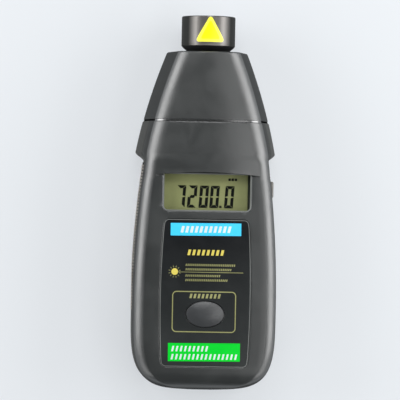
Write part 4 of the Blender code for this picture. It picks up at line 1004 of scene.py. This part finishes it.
# Display
digits = {"low": 90.35, "high": 101.4, "stroke": 1.5, "slant": 0.065, "gap": 0.1,
          "places": (("7", -15.4), ("2", -9.8), ("0", -4.05), ("0", 1.3), ("0", 8.6)), "wide": 4.45,
          "point": (6.85, 91.0), "sheet": (-21.4, 88.4, 20.3, 107.8), "mark": (10.6, 103.95, 11.8, 105.2),
          "marks": 3, "markPitch": 1.55}
segmentsOf = {"0": "abcdef", "2": "abged", "7": "abc"}
outward = {"a": (0, 1), "b": (1, 0), "c": (1, 0), "d": (0, -1), "e": (-1, 0), "f": (-1, 0), "g": (0, 1)}


def flatPiece(name, loops, low, high, finish):
    # flat printed or cut shapes of one finish, made as one piece
    bm = bmesh.new()
    for points in loops:
        stack([(points, low), (points, high)], bm=bm)
    return dress(newItem(name, bm), finish, "case", sharp=60)


def segmentLoops(figure, left):
    # lit bars of one seven-bar figure, mitred where they meet at its corners
    wide, tall = digits["wide"], digits["high"] - digits["low"]
    half, gap = digits["stroke"] / 2, digits["gap"]
    right, middle, top = wide - half, tall / 2, tall - half
    bars = {
        "a": ((half, top), (right, top)), "g": ((half, middle), (right, middle)),
        "d": ((half, half), (right, half)), "f": ((half, middle), (half, top)),
        "b": ((right, middle), (right, top)),
        "e": ((half, half), (half, middle)), "c": ((right, half), (right, middle)),
    }
    loops = []
    for letter in segmentsOf[figure]:
        start, end = (Vector(point) for point in bars[letter])
        along = (end - start).normalized()
        out = Vector(outward[letter])
        if letter == "g":
            tips = [(start + along * gap, along), (end - along * gap, -along)]
            points = [point for tip, way in tips
                      for point in (tip + (way - out) * half, tip, tip + (way + out) * half)]
            points[3:] = points[:2:-1]
        else:
            points = []
            for spot, way in ((start, along), (end, -along)):
                past = half if abs(spot.y - middle) > half else 0.0
                back = half if past else half / 2
                points += [spot + out * half - way * (past - gap), spot - out * half + way * (back + gap)]
            points[2:] = points[:1:-1]
        loops.append([(left + point.x + point.y * digits["slant"], place(digits["low"] + point.y))
                      for point in points])
    return loops


def outlineStrip(name, loopAt, outer, inner, low, high, finish):
    # thin closed frame between two offsets of one outline
    rings = []
    for grow, height in ((outer, low), (outer, high), (inner, high), (inner, low)):
        rings.append([(x, y, height) for x, y in loopAt(grow)])
    return dress(newItem(name, loft(rings, closed=True)), finish, "case", sharp=60)


def addDisplay():
    # light grey strip round the window's mouth: a painted highlight of its bevel
    outlineStrip("windowRimHighlight", windowLoop, -0.02, -window["rim"], window["plate"][1] + 0.05, window["highlightTop"],
                 "paintedEdgeHighlight")
    low, high = window["cell"]
    half, foot, head = window["half"] + window["plateRim"], window["low"] - 1.2, window["high"] + 1.2
    sheetLow, inkLow = high - 0.14, high - 0.06
    glass = roundedLoop((-half, place(foot)), (half, place(head)), 0.3, 3)
    dress(newItem("displayGlass", stack([(glass, low), (glass, sheetLow)])), "displayEdgeAndShade", "case",
          ["lcd_glass"], sharp=40)
    # the olive sheet fills the window on the left but stops short on the right, so the dark glass shows there as
    # painted shade
    left, bottom, right, top = digits["sheet"]
    sheet = roundedLoop((left, place(bottom)), (right, place(top)), 0.4, 4)
    flatPiece("displaySheet", [sheet], sheetLow, inkLow, "displayOlive")
    loops = []
    for figure, left in digits["places"]:
        loops += segmentLoops(figure, left)
    x, y = digits["point"]
    loops.append(roundedLoop((x - 0.6, place(y) - 0.55), (x + 0.6, place(y) + 0.6), 0.25, 3))
    flatPiece("displayFigures", loops, inkLow, high, "displayBlack")
    marks = []
    left, bottom, right, top = digits["mark"]
    for index in range(digits["marks"]):
        step = index * digits["markPitch"]
        marks.append(roundedLoop((left + step, place(bottom)), (left + step + right - left, place(top)), 0.15, 2))
    flatPiece("displayMarks", marks, inkLow, high, "displayBlack")
    half, foot, head = half - 0.05, foot + 0.05, head - 0.05
    plate = roundedLoop((-half, place(foot)), (half, place(head)), 0.5, 4)
    pane = newItem("displayPane", stack([(plate, window["plate"][0]), (plate, window["plate"][1])]))
    dress(pane, "clearPlastic", "case", ["display_window"], sharp=40)


# Printed fields on the overlay, each (left, low, right, high) with a corner radius
prints = {
    "blueField": {"finish": "blueInk", "boxes": [(-17.8, 76.6, 17.2, 82.8)], "corner": 0.2, "turn": 0.5},
    "greenField": {"finish": "greenInk", "boxes": [(-18.0, 14.4, 17.7, 23.4)], "corner": 0.2, "turn": 0.5},
    "ruleLine": {"finish": "dimGoldInk", "corner": 0.08, "boxes": [(-13.8, 58.35, 18.6, 58.62)]},
}
# Hatched bars: stroke (wide, high, pitch), then rows of (left, low, strokes)
hatching = {
    "blueHatch": {"finish": "whiteInk", "stroke": (1.35, 3.2, 2.32), "slope": 0.0087, "level": 1,
                  "rows": [(-12.9, 78.1, 11)]},
    "greenHatch": {"finish": "whiteInk", "stroke": (0.9, 2.7, 2.1), "slope": 0.0087, "level": 1,
                   "rows": [(-16.4, 19.3, 9), (-16.6, 15.3, 16)]},
    "goldHatch": {"finish": "goldInk", "stroke": (1.3, 2.75, 2.34), "rows": [(-9.3, 66.85, 8)]},
    "noteHatch": {"finish": "dimGoldInk", "stroke": (0.5, 1.1, 0.92), "rows": [
        (-10.1, 61.5, 27), (-10.1, 59.3, 25), (-10.1, 56.2, 19), (-10.1, 54.0, 23)]},
    "legendHatch": {"finish": "dimGoldInk", "stroke": (1.1, 2.2, 2.0), "rows": [(-7.9, 45.6, 8)]},
}
hatchLean = 0.22
keyFrame = {"box": (-16.4, 28.7, 15.3, 49.1), "corner": 2.2, "line": 0.5}
dot = {"at": (-15.4, 58.6), "radius": 1.65, "rays": 12, "rayFrom": 2.2, "rayTo": 3.1, "rayWide": 0.16}
inkLift = (34.65, 34.68)


def hatchLoops(look):
    # leaning strokes row by row; slope lets a row follow its tilted field
    wide, tall, pitch = look["stroke"]
    loops = []
    for left, low, count in look["rows"]:
        for index in range(count):
            x = left + index * pitch
            foot = place(low) + x * look.get("slope", 0.0)
            lean = hatchLean * tall
            loops.append([(x, foot), (x + wide, foot), (x + wide + lean, foot + tall), (x + lean, foot + tall)])
    return loops


def turnLoop(points, degrees):
    # the outline turned about its own middle
    middle = sum((Vector(point) for point in points), Vector((0, 0))) / len(points)
    turn = Matrix.Rotation(math.radians(degrees), 2)
    return [tuple(middle + turn @ (Vector(point) - middle)) for point in points]


def keyFrameLoop(grow):
    left, foot, right, head = keyFrame["box"]
    return roundedLoop((left - grow, place(foot) - grow), (right + grow, place(head) + grow),
                       keyFrame["corner"] + grow, 10)


def addOverlay():
    low, high = overlay["floor"], overlay["floor"] + overlay["thick"]
    layers = [(overlayLoop(0), low), (overlayLoop(0), high - 0.08), (overlayLoop(-0.08), high)]
    hole, rim = memoryLoop(memory["sheetGap"]), memoryLoop(memory["sheetGap"] + 0.15)
    mouth = [(hole, low - 1), (hole, high - 0.15), (rim, high + 0.001), (rim, high + 1)]
    sheet = carved("faceOverlay", stack(layers), [("DIFFERENCE", stack(mouth))])
    dress(sheet, "overlayFilm", "case", ["front_overlay"], sharp=25)
    low, high = inkLift
    # light grey strip round the overlay's edge: a painted highlight of its bevel
    outlineStrip("overlayEdgeHighlight", overlayLoop, -0.1, -0.1 - overlay["highlightLine"], low, high, "paintedEdgeHighlight")
    for name, look in prints.items():
        loops = [turnLoop(roundedLoop((left, place(foot)), (right, place(head)), look["corner"], 4),
                          look.get("turn", 0.0)) for left, foot, right, head in look["boxes"]]
        flatPiece(name, loops, low, high, look["finish"])
    for name, look in hatching.items():
        lift = look.get("level", 0) * (high - low)
        flatPiece(name, hatchLoops(look), low + lift, high + lift, look["finish"])
    outlineStrip("keyFrameLine", keyFrameLoop, 0, -keyFrame["line"], low, high, "dimGoldInk")
    middle = (dot["at"][0], place(dot["at"][1]))
    flatPiece("goldDot", [circle(dot["radius"], 40, middle)], low, high, "goldInk")
    rays = []
    for index in range(dot["rays"]):
        turn = 2 * math.pi * (index + 0.5) / dot["rays"]
        out, side = Vector((math.cos(turn), math.sin(turn))), Vector((-math.sin(turn), math.cos(turn)))
        points = []
        for reach, wide in ((dot["rayFrom"], 1), (dot["rayTo"], 0.5), (dot["rayTo"], -0.5), (dot["rayFrom"], -1)):
            point = Vector(middle) + out * reach + side * wide * dot["rayWide"]
            points.append((point.x, point.y))
        rays.append(points)
    flatPiece("dotRays", rays, low, high, "dimGoldInk")


def addMemoryKey():
    long, wide = memory["half"]
    edge = memory["top"] - memory["dome"]
    reach = memory["flange"] + memory["gap"]
    middle = (0.0, place(memory["at"]))

    def keyOval(halfLong, halfWide):
        return oval(halfLong, halfWide, middle=middle)

    layers = [(keyOval(long + reach, wide + reach), memory["flangeLow"]),
              (keyOval(long + reach, wide + reach), memory["flangeTop"]),
              (keyOval(long, wide), memory["flangeTop"]), (keyOval(long, wide), edge - 0.1)]
    lip = memory["lip"]
    for turn in (15, 40, 65, 90):
        back, down = rounding(lip, turn)
        layers.append((keyOval(long - back, wide - back), edge - 0.1 + lip - down))
    crown = memory["top"] - edge + 0.1 - lip
    for share in spread(0.9, 0.05, 14):
        layers.append((keyOval((long - lip) * share, (wide - lip) * share), memory["top"] - crown * share**2))
    key = newItem("memoryKey", stack(layers))
    return dress(key, "buttonPlastic", "memory_key", ["memory_button"], sharp=45)


def addSideKey():
    low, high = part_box("test_button")
    flangeLow, crest = low.x / mm, high.x / mm
    flangeTop = flangeLow + sideKey["thick"]
    layers = [(sideLoop(sideKey["flange"]), flangeLow), (sideLoop(sideKey["flange"]), flangeTop),
              (sideLoop(0), flangeTop)]
    for turn in spread(0, 90, 6):
        inset, back = rounding(sideKey["round"], turn)
        layers.append((sideLoop(-inset * 0.95), crest - back))
    key = stack(layers, axis="X")
    grooves = []
    for index in range(3):
        y = place(sideKey["at"]) + (index - 1) * sideKey["groovePitch"]
        section = [(y - 0.3, crest + 1), (y + 0.3, crest + 1), (y + 0.3, crest - 0.1), (y, crest - 0.28),
                   (y - 0.3, crest - 0.1)]
        rings = [[(x, u, z) for u, x in section]
                 for z in (sideKey["height"] - 3.2, sideKey["height"] + 3.2)]
        grooves.append(("DIFFERENCE", loft(rings)))
    item = carved("sideKey", key, grooves)
    return dress(item, "sideButtonPlastic", "test_key", ["test_button"], sharp=32)


# Screws of the case and of the board; the cross shares are of the head, the turn is in radians
screws = {
    "cross": 0.62, "crossWide": 0.16, "crossDeep": 0.6, "crossTurn": 0.4,
    "case": {"radius": 1.5, "head": 2.7, "headHigh": 1.8, "tip": 22.0, "seat": 5.7, "places": screwPlaces},
    "board": {"radius": 1.1, "head": 2.0, "headHigh": 1.2, "tip": 6.4, "seat": 23.5, "places": boardScrewPlaces},
}


def addScrew(kind, number, across):
    radius, head, headHigh, tip, seat = (screws[kind][key] for key in ("radius", "head", "headHigh", "tip", "seat"))
    profile = [(0, -headHigh), (head * 0.55, -headHigh), (head * 0.78, -headHigh * 0.94),
               (head * 0.93, -headHigh * 0.74), (head, -headHigh * 0.45), (head, 0), (radius, 0),
               (radius, tip - radius), (radius * 0.3, tip), (0, tip)]
    steps = []
    for turn in (0, math.pi / 2):
        long, wide = head * screws["cross"], head * screws["crossWide"]
        cutter = block((-long, -wide, -headHigh - 1), (long, wide, -headHigh + headHigh * screws["crossDeep"]))
        bmesh.ops.rotate(cutter, verts=cutter.verts, cent=(0, 0, 0), matrix=Matrix.Rotation(
            turn + screws["crossTurn"], 3, "Z"))
        bmesh.ops.translate(cutter, verts=cutter.verts, vec=(across[0], across[1], seat))
        steps.append(("DIFFERENCE", cutter))
    item = carved(f"{kind}Screw{number}", turned(profile, 32, at=(across[0], across[1], seat)), steps)
    return dress(item, "darkSteel", "case", [f"{kind}_screw_{number}"], sharp=30)


def addScrews():
    for kind in ("case", "board"):
        for number, across in enumerate(screws[kind]["places"], 1):
            addScrew(kind, number, across)


# Cells and their springs
cells = {"count": 4, "diameter": 14.3, "spacing": 0.4, "length": 50.2, "nub": (2.7, 1.2), "from": 14.9,
         "spring": 4.6, "wire": 0.35, "coils": 3, "springRadius": (4.0, 2.4), "band": 9.0}


def cellX(index):
    return (index - (cells["count"] - 1) / 2) * (cells["diameter"] + cells["spacing"])


def addCells():
    radius, length = cells["diameter"] / 2, cells["length"]
    nub, rise = cells["nub"]
    total = length + rise
    for index in range(cells["count"]):
        flipped = index % 2 == 1
        start = cells["from"] + (0 if flipped else cells["spring"])
        profile = [(0, 0.15), (radius - 2.2, 0.15), (radius - 2.0, 0), (radius - 0.5, 0), (radius - 0.15, 0.15),
                   (radius, 0.5), (radius, length - 0.5), (radius - 0.15, length - 0.15), (radius - 0.5, length),
                   (radius - 1.4, length), (radius - 1.6, length - 0.25), (nub + 0.2, length - 0.25),
                   (nub, length), (nub, total - 0.15), (nub - 0.2, total), (0, total)]
        if flipped:
            profile = [(r, total - h) for r, h in profile]
        at = (cellX(index), place(start), bay["cell"])
        body = newItem(f"cell{index + 1}", turned(profile, 56, False, "Y", at))
        dress(body, "cellJacket", "case", [f"cell_{index + 1}"], sharp=40)
        far = total - cells["band"] - rise - 0.5
        ends = (far, far + cells["band"]) if not flipped else (total - far - cells["band"], total - far)
        bandProfile = [(radius - 0.02, ends[0]), (radius + 0.02, ends[0]), (radius + 0.02, ends[1]),
                       (radius - 0.02, ends[1])]
        band = newItem(f"cellBand{index + 1}", turned(bandProfile, 56, True, "Y", at))
        dress(band, "cellBand", "case", sharp=40)
        addSpring(index, flipped, total)


def addSpring(index, flipped, total):
    points = []
    steps = 20 * cells["coils"]
    reach = cells["spring"] - 0.3 - 2 * cells["wire"]
    for step in range(steps + 1):
        share = step / steps
        turn = 2 * math.pi * cells["coils"] * share
        radius = mix(*cells["springRadius"], share)
        points.append(Vector((radius * math.cos(turn), cells["wire"] + reach * share, radius * math.sin(turn))))
    rings = []
    for number, middle in enumerate(points):
        after, before = points[min(number + 1, steps)], points[max(number - 1, 0)]
        along = (after - before).normalized()
        side = along.cross(Vector((0, 1, 0))).normalized()
        up = side.cross(along)
        rings.append([middle + cells["wire"] * (u * side + v * up) for u, v in circle(1.0, 10)])
    bm = loft(rings)
    y = place(cells["from"] + (total if flipped else 0)) + (cells["spring"] - 0.3 if flipped else 0.15)
    if flipped:
        bmesh.ops.rotate(bm, verts=bm.verts, cent=(0, 0, 0), matrix=Matrix.Rotation(math.pi, 3, "Z"))
    bmesh.ops.translate(bm, verts=bm.verts, vec=(cellX(index), y, bay["cell"]))
    item = newItem(f"cellSpring{index + 1}", bm)
    dress(item, "brightSteel", "case", [f"cell_spring_{index + 1}"], sharp=60)


# Finishes of the solids that stay as they are
keptFinishes = {
    "innerPlastic": ("optic_block", "display_frame", "memory_switch", "test_switch"),
    "boardLaminate": ("sensor_board", "main_board", "test_board"),
    "brightSteel": ("photo_sensor", "quartz_crystal", *(f"cell_contact_{number}" for number in range(1, 6))),
    "buttonPlastic": ("memory_plunger", "test_plunger"), "stripRubber": ("contact_strip_1", "contact_strip_2"),
    "turnedBrass": ("laser_module",), "chipResin": ("processor_chip",), "canSleeve": ("capacitor",),
    "redWire": ("battery_lead_1",), "blackWire": ("battery_lead_2",), "greyCable": ("sensor_lead",),
}


def dressKeptSolids():
    for finish, names in keptFinishes.items():
        for name in names:
            mesh = solids[name].data
            mesh.materials.clear()
            mesh.materials.append(materials[finish])


addFrontCase()
print("front case made")
addRearCase()
print("rear case made")
addRibShadeSheets()
addRibCrests()
addHeadCap()
addSeamSeal()
addBatteryDoor()
print("head cover and battery door made")
addBarrel()
addFrontLens()
addLensRing()
for name, look in triangles.items():
    addTriangle(name, look)
print("barrel made")
addDisplay()
addOverlay()
print("display and overlay made")
addMemoryKey()
addSideKey()
addScrews()
addCells()
dressKeptSolids()
print("keys, screws and cells made")


# Floor, lights and camera
studio = {
    "floor": tone(222, 226, 230), "floorSize": 6.0, "floorDrop": -0.0003, "floorRough": 0.8,
    "glowReach": (0.3, 1.2), "floorGlow": 0.6, "glowTone": tone(228, 232, 236),
    "worldTone": (0.92, 0.96, 1.0, 1.0), "worldLevel": 0.08,
    "panels": (  # turn from overhead and round the object, distance, (width, length), watts
        {"name": "leftPanel", "turn": -68, "round": -17, "away": 0.75, "size": (0.42, 0.75), "power": 5.8},
        {"name": "rightPanel", "turn": 67, "round": 14, "away": 0.75, "size": (0.44, 0.8), "power": 6.3},
        {"name": "leftFoot", "turn": -66, "round": 42, "away": 0.75, "size": (0.4, 0.5), "power": 1.3},
        {"name": "rightFoot", "turn": 66, "round": -42, "away": 0.75, "size": (0.4, 0.5), "power": 1.5},
        {"name": "rightNear", "turn": 24, "round": -10, "away": 0.32, "size": (0.08, 0.26), "power": 0.17},
        {"name": "headPanel", "turn": 38, "round": 90, "away": 0.7, "size": (0.22, 0.4), "power": 1.6},
        {"name": "backPanel", "turn": 180, "round": 0, "away": 0.75, "size": (0.8, 0.8), "power": 3.6},
    ),
}
view = {"aim": (0.0, 0.0, 17.5), "away": 1650.0, "lean": 3.3, "roll": 1.13, "wide": 200.0,
        "middle": (205.1, 202.75), "sensor": 36.0}


def addStudio():
    half = studio["floorSize"] / 2
    bm = bmesh.new()
    corners = ((-half, -half), (half, -half), (half, half), (-half, half))
    bm.faces.new([bm.verts.new((*corner, studio["floorDrop"])) for corner in corners])
    mesh = bpy.data.meshes.new("paleFloor")
    bm.to_mesh(mesh)
    bm.free()
    floor = bpy.data.objects.new("paleFloor", mesh)
    scene.collection.objects.link(floor)
    material = bpy.data.materials.new("floorPaint")
    material.use_nodes = True
    tree = material.node_tree
    shader = tree.nodes["Principled BSDF"]
    shader.inputs["Base Color"].default_value = studio["floor"]
    shader.inputs["Roughness"].default_value = studio["floorRough"]
    # seen directly, in gloss or through glass, the floor is a pale backdrop that keeps the shadow
    rays = addNode(tree, "ShaderNodeLightPath")
    seen = combine(tree, "MAXIMUM", rays.outputs["Is Camera Ray"], rays.outputs["Is Glossy Ray"])
    seen = combine(tree, "MAXIMUM", seen, rays.outputs["Is Transmission Ray"])
    spot = addNode(tree, "ShaderNodeNewGeometry")
    far = addNode(tree, "ShaderNodeVectorMath", {0: spot.outputs["Position"]}, operation="LENGTH")
    level = remap(tree, far.outputs["Value"], studio["glowReach"], (studio["floorGlow"], 1.0))
    share = combine(tree, "MULTIPLY", seen, level)
    glow = addNode(tree, "ShaderNodeEmission", {"Color": studio["glowTone"], "Strength": 1.0})
    both = addNode(tree, "ShaderNodeMixShader", {0: share, 1: shader.outputs[0], 2: glow.outputs[0]})
    # from below the floor is clear, to the light too, so that the back can be looked at
    clear = addNode(tree, "ShaderNodeBsdfTransparent")
    through = combine(tree, "MAXIMUM", spot.outputs["Backfacing"], rays.outputs["Is Shadow Ray"])
    sided = addNode(tree, "ShaderNodeMixShader", {0: through, 1: both.outputs[0], 2: clear.outputs[0]})
    tree.links.new(sided.outputs[0], tree.nodes["Material Output"].inputs["Surface"])
    mesh.materials.append(material)
    world = bpy.data.worlds.new("softRoom")
    scene.world = world
    world.use_nodes = True
    tree = world.node_tree
    soft, pale = tree.nodes["Background"], addNode(tree, "ShaderNodeBackground")
    soft.inputs["Color"].default_value = studio["worldTone"]
    soft.inputs["Strength"].default_value = studio["worldLevel"]
    pale.inputs["Color"].default_value = studio["glowTone"]
    rays = addNode(tree, "ShaderNodeLightPath")
    seen = combine(tree, "MAXIMUM", rays.outputs["Is Camera Ray"], rays.outputs["Is Transmission Ray"])
    both = addNode(tree, "ShaderNodeMixShader", {0: seen, 1: soft.outputs[0], 2: pale.outputs[0]})
    tree.links.new(both.outputs[0], tree.nodes["World Output"].inputs["Surface"])
    for panel in studio["panels"]:
        light = bpy.data.lights.new(panel["name"], "AREA")
        light.shape = "RECTANGLE"
        light.size, light.size_y = panel["size"]
        light.energy = panel["power"]
        item = bpy.data.objects.new(panel["name"], light)
        turn = Matrix.Rotation(math.radians(panel["round"]), 4, "Z") @ Matrix.Rotation(
            math.radians(panel["turn"]), 4, "Y")
        item.matrix_world = turn @ Matrix.Translation((0.0, 0.0, panel["away"]))
        scene.collection.objects.link(item)


def addCamera():
    lens = bpy.data.cameras.new("photoCamera")
    lens.sensor_width = view["sensor"]
    lens.lens = view["sensor"] * view["away"] / view["wide"]
    lens.clip_end = 20.0
    item = bpy.data.objects.new("photoCamera", lens)
    lean, roll = math.radians(view["lean"]), math.radians(view["roll"])
    back = Vector((-math.sin(lean), 0.0, math.cos(lean)))
    right = Vector((math.cos(lean), 0.0, math.sin(lean)))
    up = back.cross(right)
    turnedRight = right * math.cos(roll) + up * math.sin(roll)
    turnedUp = up * math.cos(roll) - right * math.sin(roll)
    perPixel = view["wide"] / 400
    slide = -turnedRight * (view["middle"][0] - 200) * perPixel + turnedUp * (view["middle"][1] - 200) * perPixel
    spot = (Vector(view["aim"]) + back * view["away"] + slide) * mm
    frameTurn = Matrix((turnedRight, turnedUp, back)).transposed().to_4x4()
    item.matrix_world = Matrix.Translation(spot) @ frameTurn
    scene.collection.objects.link(item)
    scene.camera = item


addStudio()
addCamera()
scene.view_settings.view_transform = "Standard"
print("floor, lights and camera made")
